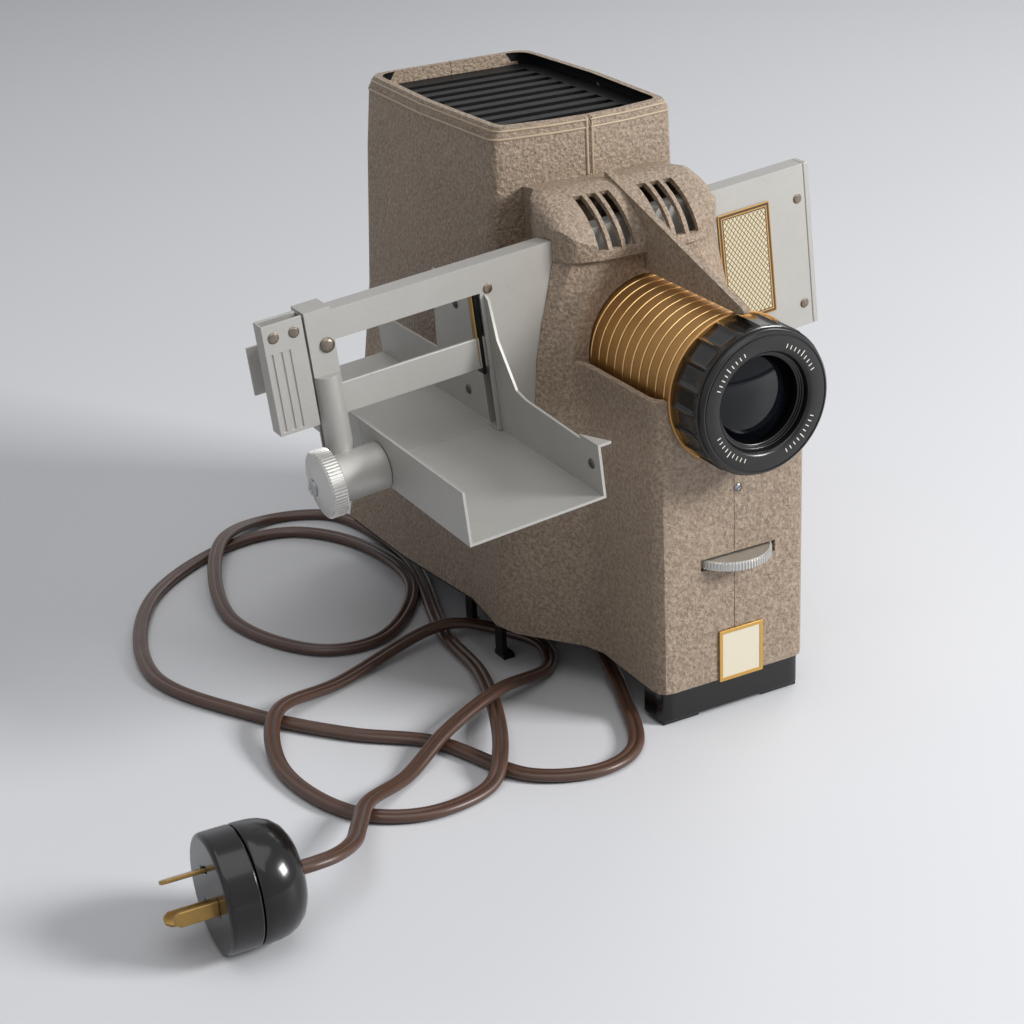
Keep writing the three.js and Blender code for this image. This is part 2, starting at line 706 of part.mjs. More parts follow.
function louvreCutter(from, to) {
    const high = mix(gateTop, hoodTop, louvreHighShare);
    const low = mix(gateTop, hoodTop, louvreLowShare);
    const back = hoodCrown - (hoodCrown - hoodFront) * hoodBend(Math.sqrt(1 - louvreHighShare ** 2));
    return plate([[hoodFront - overrun, low], [hoodCrown, low], [back, high], [back, hoodTop + overrun],
        [hoodFront - overrun, hoodTop + overrun]], from, to, 'x');
}

function buildHood(group) {
    let body = hoodBlock(0).subtract(hoodBlock(hoodWall));
    body = cut(body, houseLoft(-gap, gateTop - overrun, houseTop));
    const pitch = (louvreOuter - louvreInner + louvreBar) / louvreCount;
    for (let i = 0; i < louvreCount; i += 1) {
        const from = louvreInner + pitch * i;
        const to = from + pitch - louvreBar;
        body = cut(body, louvreCutter(from, to), louvreCutter(-to, -from));
    }
    const tipLow = lensAxisHeight + finUnderside;
    const tipHigh = tipLow + finTipHeight;
    const finBack = hoodFront + hoodWall / 2;
    body = body.add(solid(plate([[finTip + finTipRound, tipLow], [finBack, tipLow], [finBack, gateTop + gap * 2],
        [hoodCrown, hoodTop - hoodWall / 2], [finRoot, hoodTop - hoodWall / 2], [finRoot, hoodTop + finRise],
        [finTip + finTipRound, tipHigh], [finTip, tipHigh - finTipRound / 2], [finTip, tipLow + finTipRound / 2]],
        -finHalfThickness, finHalfThickness, 'x')));
    body = cut(body, changerRoom(), gateLoft(-gap, lensAxisHeight, gateTop));
    piece(group, 'louvre_hood', body, paint);
    const clipFront = hoodFront - hoodClipLength;
    const clipHeight = gateTop - hoodClipDrop;
    const clip = cut(solid(rod(hoodClipRadius, clipFront, hoodFront + overrun, 'y', 20).translate(0, 0, clipHeight)),
        gateLoft(-gap, lensAxisHeight, gateTop), box(-finHalfThickness - gap, finHalfThickness + gap, 0, far, 0, far),
        box(-far, 0, 0, far, 0, far));
    piece(group, 'hood_clip', clip, aluminium);
}

function buildGrille(group) {
    const top = houseTop - grilleDrop;
    const inset = wall + gap;
    let body = solid(houseLoft(inset, top - grilleThickness, top));
    const front = houseFront + inset + grilleFlange;
    const pitch = (houseBack - inset - grilleFlange - front) / grilleSlats;
    const side = houseTopHalf - inset - grilleFlange;
    for (let i = 0; i < grilleSlats; i += 1) {
        const from = front + pitch * i;
        body = cut(body, box(-side, side, from, from + pitch * (1 - grilleSlatShare), 0, houseTop));
        body = body.add(solid(box(-side, side, from + pitch * (1 - grilleSlatShare), from + pitch,
            top - grilleSlatHeight, top)));
    }
    piece(group, 'top_grille', body, blackPaint);
}

// The same shape on both sides of the machine.
const pairOf = (shape) => [shape.clone().translate(0, 0, 0), flipped(shape.clone().scale(-1, 1, 1))];

const panTop = bodyBottom - gap;
const panBottom = panTop - plateThickness;

function legSpots() {
    return legBackShares.map((share, i) => [mix(shoulderHalfLow, houseBackHalfLow, share) * legSideShares[i],
        mix(flareEndLow, houseBack, share)]);
}

function buildBase(group) {
    let pan = joined(houseLoft(plateInset, panBottom, panTop), noseLoft(plateInset, panBottom, panTop));
    pan = cut(pan, box(-far, far, 0, flareEndLow, 0, far));
    const fanY = lampBack;
    const barPitch = intakeRadius * 2 / (intakeBarCount + 1);
    for (let i = 0; i <= intakeBarCount; i += 1) {
        const from = -intakeRadius + barPitch * i;
        pan = cut(pan, box(from, from + barPitch - intakeBar, fanY - intakeRadius, fanY + intakeRadius, 0, bodyBottom));
    }
    for (const [x, y] of legSpots()) {
        const out = x + legThickness / 2;
        const leg = [box(x - legThickness / 2, out, y - legWidth / 2, y + legWidth / 2, 0, panTop - plateThickness / 2),
            box(x - padHalf, out, y - padHalf, y + padHalf, 0, padHeight)];
        for (const shape of leg.flatMap(pairOf)) pan = pan.add(solid(shape));
    }
    piece(group, 'base_pan', pan, blackPaint);
}

// Elevating foot: a knurled wheel turns on the foot's screw and is held between two shelves in the nose.
function buildElevation(group) {
    const shelfHalf = noseHalfWidth - wall - gap;
    const shelfFront = noseFront + wall + gap;
    const shelfBack = wheelBack + wheelRadius + bearingThickness;
    const wheelTop = wheelHeight + wheelThickness;
    let bracket = joined(
        box(-shelfHalf, shelfHalf, shelfFront, shelfBack + bearingThickness, wheelHeight - gap - bearingThickness, wheelHeight - gap),
        box(-shelfHalf, shelfHalf, shelfBack, shelfBack + bearingThickness, wheelHeight - gap - overrun / 4, wheelTop + gap * 2),
        box(-shelfHalf, shelfHalf, shelfFront, shelfBack + bearingThickness, wheelTop + gap, wheelTop + gap + bearingThickness));
    const noseRound = cut(solid(box(-far, far, 0, far, 0, far)), noseLoft(wall + gap, 0, lensAxisHeight));
    bracket = bracket.subtract(noseRound);
    bracket = cut(bracket, rod(screwRadius + gap, 0, lensAxisHeight).translate(wheelSide, wheelBack, 0));
    for (const side of [-1, 1]) {
        bracket = cut(bracket, rod(guidePinRadius + gap, 0, lensAxisHeight, 'z', 12)
            .translate(wheelSide + side * guidePinSpacing, wheelBack, 0));
    }
    piece(group, 'wheel_bracket', bracket, steel);
    const wheel = cut(solid(toothed(wheelRadius, wheelToothDepth, wheelTeeth, wheelHeight, wheelTop)),
        rod(screwRadius + gap, 0, lensAxisHeight)).translate(wheelSide, wheelBack, 0);
    piece(group, 'elevation_wheel', wheel, aluminium);

    const footTop = noseBottom - gap;
    const footBack = footFront + footDepth;
    const outline = mirrored([[0, footFront],
        ...corner([footHalfWidth - footCorner, footFront], [footHalfWidth, footFront], [footHalfWidth, footFront + footCorner], 4),
        [footHalfWidth, footBack], [0, footBack]]);
    const footLow = footPadHeight;
    const screwFoot = footTop - footSocket;
    let foot = cut(solid(plate(outline, footLow, footTop)), rod(screwRadius + gap, screwFoot, far).translate(wheelSide, wheelBack, 0));
    const top = wheelTop + bearingThickness + footTravel + overrun;
    for (const side of [-1, 1]) {
        foot = foot.add(solid(rod(guidePinRadius, screwFoot, top, 'z', 12).translate(wheelSide + side * guidePinSpacing, wheelBack, 0)));
    }
    const pad = box(footHalfWidth - footPadLength, footHalfWidth - footPadInset, footFront + footPadInset,
        footBack - footPadInset, 0, footPadHeight * 2);
    for (const shape of pairOf(pad)) foot = foot.add(solid(shape));
    piece(group, 'front_foot', foot, blackGloss);
    piece(group, 'elevation_screw', rod(screwRadius, screwFoot + gap, top).translate(wheelSide, wheelBack, 0), steel);
}

function buildNoseTrim(group) {
    const face = noseFront - gap;
    piece(group, 'nose_badge', box(badgeSide - badgeWidth / 2, badgeSide + badgeWidth / 2, face - badgeThickness, face,
        badgeLow, badgeLow + badgeHeight), gold);
    const screw = cut(solid(rod(guideScrewRadius, noseFront - gap, noseFront + wall + overrun, 'y', 16)),
        box(-guideScrewRadius, guideScrewRadius, 0, noseFront + guideScrewRadius / 2, -gap, gap));
    piece(group, 'guide_screw', screw.translate(guideScrewSide, 0, lensAxisHeight - guideScrewDrop), steel);
}

// Lens: the barrel turns on the tube that carries the glass.
const barrelBore = barrelRadius - barrelWall;
const tubeOuter = barrelBore - gap;
const ringBack = ringThickness;
const knobFront = ringBack + gap;
const flangeBack = noseFront - runningGap;
const flangeFront = flangeBack - flangeThickness;
const knobBack = flangeFront - gap;
const barrelFront = flangeBack + gap;

function barrelShape() {
    const outer = [[barrelBore, barrelFront], [barrelRadius, barrelFront]];
    for (let i = 0; i < barrelGrooves; i += 1) {
        const at = grooveFirst + groovePitch * i;
        const low = barrelRadius - grooveDepth;
        outer.push([barrelRadius, at - grooveWidth], [low, at], [barrelRadius, at + grooveWidth]);
    }
    outer.push([barrelRadius, barrelEnd], [barrelBore, barrelEnd], [barrelBore, barrelFront]);
    return turned(outer, 'y', 28);
}

function knobShape() {
    const points = [];
    const step = Math.PI * 2 / knobFlutes;
    for (let i = 0; i < knobFlutes; i += 1) {
        knobTurnShares.forEach((share, k) => {
            const r = knobRadius - knobFluteDepth * knobSinkShares[k];
            const angle = step * (i + share);
            points.push([r * Math.cos(angle), r * Math.sin(angle)]);
        });
    }
    const ribs = solid(lay(plate(points, knobFront, knobBack), 'y'));
    const shell = solid(turned([[0, knobFront], [knobRadius - knobBevel, knobFront], [knobRadius, knobFront + knobBevel],
        [knobRadius, knobBack], [0, knobBack]], 'y', 60));
    return cut(ribs.intersect(shell), rod(tubeOuter + gap, 0, barrelEnd, 'y', 60));
}

function buildLens(group) {
    const add = (name, shape, material) => piece(group, name, shape.translate(0, 0, lensAxisHeight), material);
    const addSolid = (name, body, material) => piece(group, name, body.translate(0, 0, lensAxisHeight), material);
    add('lens_barrel', barrelShape(), gold);
    add('barrel_flange', tubeRing(flangeRadius, tubeOuter + gap, flangeFront, flangeBack, 'y', 48), gold);
    addSolid('focus_knob', knobShape(), blackGloss);
    add('face_ring', turned([[ringInner, 0], [ringFace - ringBevel, 0], [ringFace, ringBevel], [ringFace, ringBack],
        [ringInner, ringBack], [ringInner, 0]], 'y', 48), blackGloss);
    add('lens_tube', turned([[tubeOuter, knobFront], [tubeOuter, tubeEnd], [rearGlassRadius + gap, tubeEnd],
        [rearGlassRadius + gap, rearGlassPlace - tubeWall], [tubeOuter - tubeWall, rearGlassPlace - tubeWall],
        [tubeOuter - tubeWall, cellDepth], [glassRadius + gap, cellDepth], [glassRadius + gap, knobFront],
        [tubeOuter, knobFront]], 'y', 28), blackPaint);
    const ringEnd = knobFront + gap + retainerThickness;
    add('retaining_ring', turned([[retainerInner, knobFront + gap], [glassRadius, knobFront + gap], [glassRadius, ringEnd],
        [retainerInner + gap, ringEnd], [retainerInner, knobFront + gap]], 'y', 36), blackPaint);
    const frontBack = ringEnd + gap + frontGlassCrown + frontGlassEdge;
    add('front_lens', turned([[0, ringEnd + gap], ...bulge(glassRadius, ringEnd + gap, frontGlassCrown),
        [glassRadius, frontBack], [0, frontBack]], 'y', 32), glass);
    const midFront = frontBack + gap;
    const midBack = midFront + middleGlassEdge;
    const dish = (middleGlassEdge - middleGlassCentre) / 2;
    add('middle_lens', turned([[0, midFront + dish], [glassRadius / 2, midFront + dish * 3 / 4], [glassRadius * 3 / 4, midFront],
        [glassRadius, midFront], [glassRadius, midBack], [glassRadius * 3 / 4, midBack],
        [glassRadius / 2, midBack - dish * 3 / 4], [0, midBack - dish]], 'y', 24), glass);
    add('rear_lens', turned([[0, rearGlassPlace], ...bulge(rearGlassRadius, rearGlassPlace, frontGlassCrown),
        [rearGlassRadius, rearGlassPlace + frontGlassCrown + frontGlassEdge],
        [0, rearGlassPlace + frontGlassCrown + frontGlassEdge]], 'y', 32), glass);
}

// Points on a lens face from near its middle to its edge, rising from the crown.
function bulge(radius, start, crown) {
    const points = [];
    for (let i = 1; i <= bulgeSteps; i += 1) {
        const share = i / bulgeSteps;
        points.push([radius * share, start + crown * share * share]);
    }
    return points;
}

// Lamp, reflector and condenser stand on a deck across the lamp house.
const deckTop = deckHeight + deckThickness;

function buildLight(group) {
    let deck = solid(houseLoft(wall + gap, deckHeight, deckTop));
    for (const side of [-1, 1]) {
        for (const share of deckVentShares) {
            const x = side * (socketRadius + motorMargin + deckVentWidth / 2);
            const y = mix(houseFront, houseBack, share);
            deck = cut(deck, box(x - deckVentWidth / 2, x + deckVentWidth / 2, y - deckVentLength / 2, y + deckVentLength / 2, 0, houseTop));
        }
    }
    piece(group, 'lamp_deck', deck, steel);
    const socketTop = deckTop + gap + socketHeight;
    const baseLow = socketTop - lampBaseDepth;
    const socket = turned([[0, deckTop + gap], [socketRadius, deckTop + gap], [socketRadius, socketTop], [lampBaseRadius + gap, socketTop],
        [lampBaseRadius + gap, baseLow - gap], [0, baseLow - gap]], 'z', 32);
    piece(group, 'lamp_socket', socket.translate(0, lampBack, 0), cream);
    const neckLow = lampBaseTop + gap;
    const crown = lensAxisHeight + bulbRise;
    const base = turned([[0, baseLow], [lampBaseRadius, baseLow], [lampBaseRadius, lampBaseTop], [0, lampBaseTop]], 'z', 28);
    piece(group, 'lamp_base', base.translate(0, lampBack, 0), brass);
    const bulbShape = (r, low, top) => {
        const neck = bulbNeckRadius - bulbRadius + r;
        return turned([[0, low], [neck, low], [neck, neckLow], [r, neckLow + r],
            ...bulge(r, -top, r).map(([a, b]) => [a, -b]).reverse(), [0, top]], 'z', 20);
    };
    const bulb = cut(solid(bulbShape(bulbRadius, neckLow, crown)), bulbShape(bulbRadius - bulbWall, neckLow - overrun, crown - bulbWall));
    piece(group, 'lamp_bulb', bulb.translate(0, lampBack, 0), glass);
    const filamentLow = lensAxisHeight - filamentHalf;
    let filament = solid(box(-filamentHalf, filamentHalf, -filamentThickness / 2, filamentThickness / 2, filamentLow, lensAxisHeight + filamentHalf));
    for (const side of [-1, 1]) {
        filament = filament.add(solid(rod(filamentPost, neckLow, filamentLow + filamentPost, 'z', 8)
            .translate(side * (filamentHalf - filamentPost), 0, 0)));
    }
    piece(group, 'lamp_filament', filament.translate(0, lampBack, 0), steel);

    const rim = reflectorBack - reflectorDepth;
    const mirrorCup = turned([[0, reflectorBack], ...bulge(reflectorRadius, -reflectorBack, reflectorDepth).map(([r, a]) => [r, -a]),
        [reflectorRadius, rim - reflectorThickness], ...bulge(reflectorRadius, -reflectorBack + reflectorThickness, reflectorDepth)
            .slice(0, -1).reverse().map(([r, a]) => [r, -a]), [0, reflectorBack - reflectorThickness]].reverse(), 'y', 20);
    piece(group, 'reflector', mirrorCup.translate(0, 0, lensAxisHeight), mirror);
    const stand = joined(box(-reflectorStalk, reflectorStalk, reflectorBack + gap, reflectorBack + gap + carrierThickness, deckTop + gap,
        lensAxisHeight + reflectorStalk), box(-carrierFoot, carrierFoot, reflectorBack + gap,
        reflectorBack + carrierFoot, deckTop + gap, deckTop + gap + carrierThickness));
    piece(group, 'reflector_stand', stand, steel);
}

function buildCondenser(group) {
    const end = condenserFront + condenserSpacing + condenserThickness;
    let carrier = solid(tubeRing(condenserRadius + gap + carrierThickness, condenserRadius + gap, condenserFront, end, 'y', 32)
        .translate(0, 0, lensAxisHeight));
    for (const at of [condenserFront, end - carrierThickness]) {
        const foot = cut(solid(box(-carrierHalfWidth, carrierHalfWidth, at, at + carrierThickness, deckTop + gap, lensAxisHeight)),
            alongLens(condenserRadius + gap * 2, 0, far, 32));
        carrier = carrier.add(foot).add(solid(box(-carrierHalfWidth, carrierHalfWidth, at - carrierFoot / 2, at + carrierFoot / 2,
            deckTop + gap, deckTop + gap + carrierThickness)));
    }
    piece(group, 'condenser_carrier', carrier, steel);
    const planoConvex = (name, flat, way) => {
        const points = bulge(condenserRadius, flat + way * condenserThickness, -way * condenserThickness * condenserBulgeShare);
        const closed = [[0, flat + way * condenserThickness], ...points, [condenserRadius, flat], [0, flat]];
        piece(group, name, turned(way > 0 ? closed.reverse() : closed, 'y', 28).translate(0, 0, lensAxisHeight), glass);
    };
    planoConvex('condenser_front_lens', condenserFront, 1);
    planoConvex('condenser_rear_lens', end, -1);
    piece(group, 'heat_glass', alongLens(condenserRadius, heatGlassBack, heatGlassBack + heatGlassThickness, 28), glass);
}

function buildBlower(group) {
    const under = deckHeight - gap;
    const motorTop = motorBottom + motorHeight;
    piece(group, 'motor_bracket', box(-motorRadius, motorRadius, lampBack - bracketWidth / 2, lampBack + bracketWidth / 2,
        motorTop + gap, under), steel);
    piece(group, 'blower_motor', tubeRing(motorRadius, shaftRadius + runningGap, motorBottom, motorTop, 'z', 32)
        .translate(0, lampBack, 0), blackPaint);
    const fanTop = motorBottom - runningGap * 2;
    const fanLow = fanTop - fanHeight;
    let fan = solid(rod(fanHub, fanLow, fanTop));
    fan = fan.add(solid(rod(fanRadius, fanTop - fanBladeThickness, fanTop, 'z', 24)));
    for (let i = 0; i < fanBlades; i += 1) {
        const blade = box(fanHub / 2, fanRadius - fanBladeThickness, -fanBladeThickness / 2, fanBladeThickness / 2, fanLow, fanTop);
        fan = fan.add(solid(blade.rotateZ(i * Math.PI * 2 / fanBlades)));
    }
    fan = fan.add(solid(rod(shaftRadius, fanLow, motorTop - gap * 2, 'z', 16)));
    piece(group, 'blower_fan', fan.translate(0, lampBack, 0), aluminium);
}

function buildSwitch(group) {
    const inside = houseBack - wall - gap;
    const neckEnd = houseBack + switchNutLength;
    const pivot = houseBack - wall / 2;
    let body = joined(box(-switchBodyHalf, switchBodyHalf, inside - switchDepth, inside, switchHeight - switchBodyHalf, switchHeight + switchBodyHalf),
        rod(switchNutRadius, inside - gap, neckEnd, 'y', 24).translate(0, 0, switchHeight));
    body = cut(body, rod(leverBall + gap, pivot - leverBall * 2, far, 'y', 20).translate(0, 0, switchHeight));
    piece(group, 'power_switch', body, blackGloss);
    const nut = cut(solid(rod(switchNutRadius + switchNutLength, houseBack + gap, neckEnd, 'y', 6).translate(0, 0, switchHeight)),
        rod(switchNutRadius + gap, 0, far, 'y', 24).translate(0, 0, switchHeight));
    piece(group, 'switch_nut', nut, steel);
    const lever = turned([[0, -leverBall], [leverBall * 0.75, -leverBall * 0.66], [leverBall, 0], [leverBall * 0.66, leverBall * 0.75],
        [leverRadius, leverBall], [leverRadius * 1.25, leverLength], [leverRadius, leverLength + leverRadius], [0, leverLength + leverRadius]], 'y', 16);
    piece(group, 'switch_lever', lever.translate(0, pivot, switchHeight), steel);
}

// Changer
const windowFoot = -changerHeight - gap;
const guideLow = windowFoot - sheet;
const axisAlong = -changerTopRise * Math.sin(radians(changerTilt));
const axisDown = -changerTopRise * Math.cos(radians(changerTilt));

function domes(places, face) {
    return places.map(([x, z, r = rivetRadius]) => turned([[0, gap], [r, gap], [r, 0], [r * 0.8, -rivetRise * 0.6], [0, -rivetRise]].reverse(), 'y', 14)
        .translate(x, face, z));
}

function buildChangerFrame(group) {
    const body = cut(solid(box(changerLeft, changerRight, changerFront, changerBack, -changerHeight, 0)),
        box(changerLeft - overrun, changerRight + overrun, changerFront + sheet, changerBack - sheet, sheet - changerHeight, -sheet),
        box(windowLeft, windowRight, changerFront - overrun, changerBack + overrun, -changerHeight - overrun, windowTop),
        box(axisAlong - apertureHalf, axisAlong + apertureHalf, changerFront - overrun, changerBack + overrun,
            axisDown - apertureHalf, axisDown + apertureHalf));
    piece(group, 'changer_end_strip', box(changerRight + gap, changerRight + gap + endStripThickness, changerFront, changerBack, -changerHeight, 0), aluminium);
    const rivets = domes([[changerRight - rivetInset, -endRivetDrop], [changerRight - rivetInset, -changerHeight + rivetLow],
        [windowRight + rivetInset, windowTop + rivetRadius / 2]], changerFront);
    piece(group, 'changer_frame', rivets.reduce((a, rivet) => a.add(solid(rivet)), body), aluminium);
    const badge = solid(box(panelLeft, panelRight, changerFront - gap - panelThickness, changerFront - gap,
        panelBottom, panelTop));
    const hoodRoom = loft([gateTop - gap, hoodTop].map((z) => ({ z, points: gateOutline(gateTop, -gap, gateSetback) })));
    const rooms = [noseLoft(-gap, noseBottom, noseTop), gateLoft(-gap, noseTop - overrun, gateTop), hoodRoom];
    piece(group, 'panel_badge', cut(badge, ...rooms.map(toChanger)), cream);
}

function buildPost(group) {
    const face = changerFront - gap;
    const middle = (postLeft + postRight) / 2;
    let post = joined(box(postLeft, postRight, face - postProud, face, bossDrop, postCap),
        box(postLeft, postRight, face - postProud, changerBack + gap + postProud, gap, postCap),
        box(postLeft, postRight, changerBack + gap, changerBack + gap + postProud, -postCap * overrun, postCap),
        rod((postRight - postLeft) / 2, bossDrop, -postRibTop, 'z', 20).translate(middle, face, 0),
        rod(bossRadius, bossLeft, guideLeft - gap, 'x', 28).translate(0, bossBack, bossDrop));
    post = cut(post, box(changerLeft - gap - overrun, far, face, changerBack + gap, -far, gap),
        rod(dialShaftRadius + gap, -far, far, 'x', 20).translate(0, bossBack, bossDrop));
    piece(group, 'changer_post', post, aluminium);
    const [x, z] = postScrewPlace;
    const screw = cut(solid(domes([[x, z, postScrewRadius]], face - postProud - gap * 2)[0]),
        box(x - gap, x + gap, 0, face - postProud - gap * 2 - rivetRise / 2, z - far, z + far));
    piece(group, 'post_screw', screw, brass);
}

function buildGuide(group) {
    const stop = changerFront - gap;
    const start = changerBack + gap;
    const rise = guideHighTop - guideLow;
    const wallSide = (points, from, to) => plate(points.map(([a, b]) => [mix(from, to, a), guideLow + rise * b]),
        guideRight - sheet, guideRight, 'x');
    const channel = (from, to) => [box(guideLeft, guideRight, from, to, guideLow, guideLow + sheet),
        box(guideLeft, guideLeft + sheet, from, to, guideLow, guideWallTop)];
    const ear = plate([[guideRight - sheet, guideFront], [guideRight + guideEar, guideFront], [guideRight - sheet, guideFront + guideEar * 3]],
        guideLow + rise * guideFrontShares[1][1] - sheet, guideLow + rise * guideFrontShares[1][1]);
    const pinShape = (y, z) => turned([[0, gap], [rivetRadius, gap], [rivetRadius, 0], [rivetRadius * 0.8, -rivetRise * 0.6], [0, -rivetRise]].reverse(), 'x', 14)
        .translate(guideRight - sheet, y, z);
    let front = joined(...channel(guideFront, changerBack), wallSide(guideFrontShares, guideFront, stop), ear,
        pinShape(guideFront + guidePinPlace[0], guidePinPlace[1]));
    front = cut(front, rod(dialShaftRadius + runningGap, guideLeft - overrun, guideLeft + overrun, 'x', 20).translate(0, bossBack, bossDrop));
    front = cut(front, box(windowRight - gap, guideRight + gap, stop, changerBack + overrun, guideLow + sheet, guideHighTop + overrun));
    piece(group, 'tray_guide_front', front, aluminium);
    const rear = joined(...channel(start, guideBack), wallSide(guideRearShares, start, guideBack),
        box(guideLeft - guideFlangeReach, guideLeft + sheet, guideBack - sheet, guideBack, guideLow, guideWallTop),
        ...guideScrewPlaces.map(([y, z]) => pinShape(changerFront + y, z)));
    piece(group, 'tray_guide_rear', rear, aluminium);
}

function buildDial(group) {
    const right = bossLeft - gap * 2;
    const left = right - dialThickness;
    const tip = left - dialCone;
    const shaftEnd = left + dialCone / 2;
    let dial = joined(toothed(dialRadius, dialToothDepth, dialTeeth, left, right, 'x'),
        turned([[0, left + gap], [dialRadius - dialToothDepth * 3, left + gap], [dialRadius - dialToothDepth * 3, left],
            [dialScrewRadius + overrun / 2, tip], [0, tip]].reverse(), 'x', 32));
    dial = cut(dial, rod(dialShaftRadius + gap, shaftEnd - gap, right + overrun, 'x', 20));
    piece(group, 'select_knob', dial.translate(0, bossBack, bossDrop), aluminium);
    const pinionLeft = guideLeft + sheet + runningGap;
    const shaft = joined(rod(dialShaftRadius, shaftEnd, pinionLeft + pinionLength, 'x', 20),
        toothed(pinionRadius, pinionToothDepth, pinionTeeth, pinionLeft, pinionLeft + pinionLength, 'x'));
    piece(group, 'knob_shaft', shaft.translate(0, bossBack, bossDrop), steel);
    const head = tip - gap;
    const screw = cut(solid(rod(dialScrewRadius, head - dialScrewRise, head, 'x', 20)),
        box(head - dialScrewRise - overrun, head - dialScrewRise / 2, -far, far, -gap, gap));
    piece(group, 'knob_screw', screw.translate(0, bossBack, bossDrop), brass);
}

function buildShuttle(group) {
    const barFront = changerFront + sheet + runningGap;
    piece(group, 'shuttle_bar', box(shuttleStart, shuttleEnd, barFront, barFront + shuttleThickness, shuttleTop - shuttleHeight, shuttleTop), aluminium);
    const sheetBack = barFront + shuttleThickness + gap;
    const width = handleRight - handleLeft;
    const height = handleTop - handleBottom;
    let handle = joined(box(handleLeft, handleRight, handleFront, handleFront + handleSheet, handleBottom, handleTop),
        box(handleLeft, handleLeft + handleSheet * 2 / 3, handleFront, sheetBack + handleSheet, handleBottom, handleTop),
        box(handleLeft, handleRight, sheetBack, sheetBack + handleSheet, handleBottom, handleTop));
    for (const share of handleGrooveShares) {
        const at = handleLeft + width * share;
        handle = cut(handle, box(at - handleGrooveWidth / 2, at + handleGrooveWidth / 2, handleFront - overrun, handleFront + handleGrooveDepth,
            handleBottom + handleGrooveWidth, handleTop - height * handleGrooveTopShare));
    }
    const rivets = domes(handleRivetShares.map(([a, b]) => [handleLeft + width * a, handleTop - height * b, handleRivetRadius]), handleFront);
    piece(group, 'handle_plate', rivets.reduce((a, rivet) => a.add(solid(rivet)), handle), aluminium);
}

// Mains lead: a gland under the pan, the flat flex on the table, and a round plug with three flat blades.
const reliefFront = cordRoute[0];

function buildLead(group) {
    const [gx, gy, gz] = reliefFront;
    const heading = Math.atan2(cordRoute[1][1] - gy, cordRoute[1][0] - gx);
    const along = new THREE.Group();
    along.position.set(gx, gy, gz);
    along.rotation.z = heading - Math.PI / 2;
    const relief = cut(solid(turned([[0, -gap - reliefLength], [reliefRadius, -gap - reliefLength], [reliefRadius, -reliefLength * 3 / 4],
        [reliefRadius * 0.72, -gap], [0, -gap]], 'y', 16)), box(-cordWidth / 2, cordWidth / 2, -overrun, far, -cordThickness / 2, cordThickness / 2));
    const blockTop = panBottom - gap - gz;
    const block = box(-reliefRadius * 1.3, reliefRadius * 1.3, -reliefLength - reliefRadius * 2, -reliefLength, -reliefRadius, blockTop);
    piece(along, 'cord_gland', relief.add(solid(block)), blackPaint);
    group.add(along);

    const path = new THREE.CatmullRomCurve3(cordRoute.map((p) => new THREE.Vector3(...p)), false, 'centripetal');
    const section = new THREE.Shape();
    for (let i = 0; i < cordSides; i += 1) {
        const angle = (i + 0.5) / cordSides * Math.PI * 2;
        const across = Math.cos(angle) * cordThickness / 2;
        const over = Math.sin(angle) * cordWidth / 2;
        if (i) section.lineTo(across, over);
        else section.moveTo(across, over);
    }
    section.closePath();
    piece(group, 'mains_cord', new THREE.ExtrudeGeometry(section, { steps: cordSteps, extrudePath: path, bevelEnabled: false }), cable);

    const end = cordRoute[cordRoute.length - 1];
    const before = cordRoute[cordRoute.length - 2];
    const plug = new THREE.Group();
    plug.position.set(end[0], end[1], end[2]);
    plug.rotation.z = Math.atan2(end[1] - before[1], end[0] - before[0]) - Math.PI / 2;
    const capStart = gap;
    const capEnd = capStart + plugCapLength;
    const baseStart = capEnd + plugSeam;
    const baseEnd = baseStart + plugBaseLength;
    piece(plug, 'plug_cap', turned([[0, capStart], [plugRadius * 0.3, capStart], [plugRadius * 0.72, capStart + plugCapLength * 0.12],
        [plugRadius * 0.93, capStart + plugCapLength * 0.36], [plugRadius, capStart + plugCapLength * 0.62], [plugRadius, capEnd], [0, capEnd]], 'y', 36), blackGloss);
    let base = solid(turned([[0, baseStart], [plugRadius, baseStart], [plugRadius, baseEnd - plugEdge], [plugRadius - plugEdge, baseEnd], [0, baseEnd]], 'y', 36));
    for (let i = 0; i < bladeAngleShares.length; i += 1) {
        const turn = bladeAngleShares[i] * Math.PI * 2;
        const seat = box(-bladeWidth / 2 - gap, bladeWidth / 2 + gap, baseEnd - bladeSocket - gap, far, bladeSpread - bladeThickness / 2 - gap, bladeSpread + bladeThickness / 2 + gap);
        base = cut(base, seat.rotateY(turn));
        const outline = [[-bladeWidth / 2, baseEnd - bladeSocket], [bladeWidth / 2, baseEnd - bladeSocket], [bladeWidth / 2, baseEnd + bladeLength - bladeWidth / 3],
            [bladeWidth / 4, baseEnd + bladeLength], [-bladeWidth / 4, baseEnd + bladeLength], [-bladeWidth / 2, baseEnd + bladeLength - bladeWidth / 3]];
        piece(plug, `plug_blade_${i + 1}`, plate(outline, bladeSpread - bladeThickness / 2, bladeSpread + bladeThickness / 2).rotateY(turn), brass);
    }
    piece(plug, 'plug_base', base, blackGloss);
    group.add(plug);
}

// The whole projector
const machine = new THREE.Group();
buildHousing(machine);
buildHood(machine);
buildGrille(machine);
buildBase(machine);
buildElevation(machine);
buildNoseTrim(machine);
buildLens(machine);
buildLight(machine);
buildCondenser(machine);
buildBlower(machine);
buildSwitch(machine);

const changer = new THREE.Group();
changer.position.z = changerRise;
changer.rotation.y = -radians(changerTilt);
buildChangerFrame(changer);
buildPost(changer);
buildGuide(changer);
buildDial(changer);
buildShuttle(changer);
machine.add(changer);

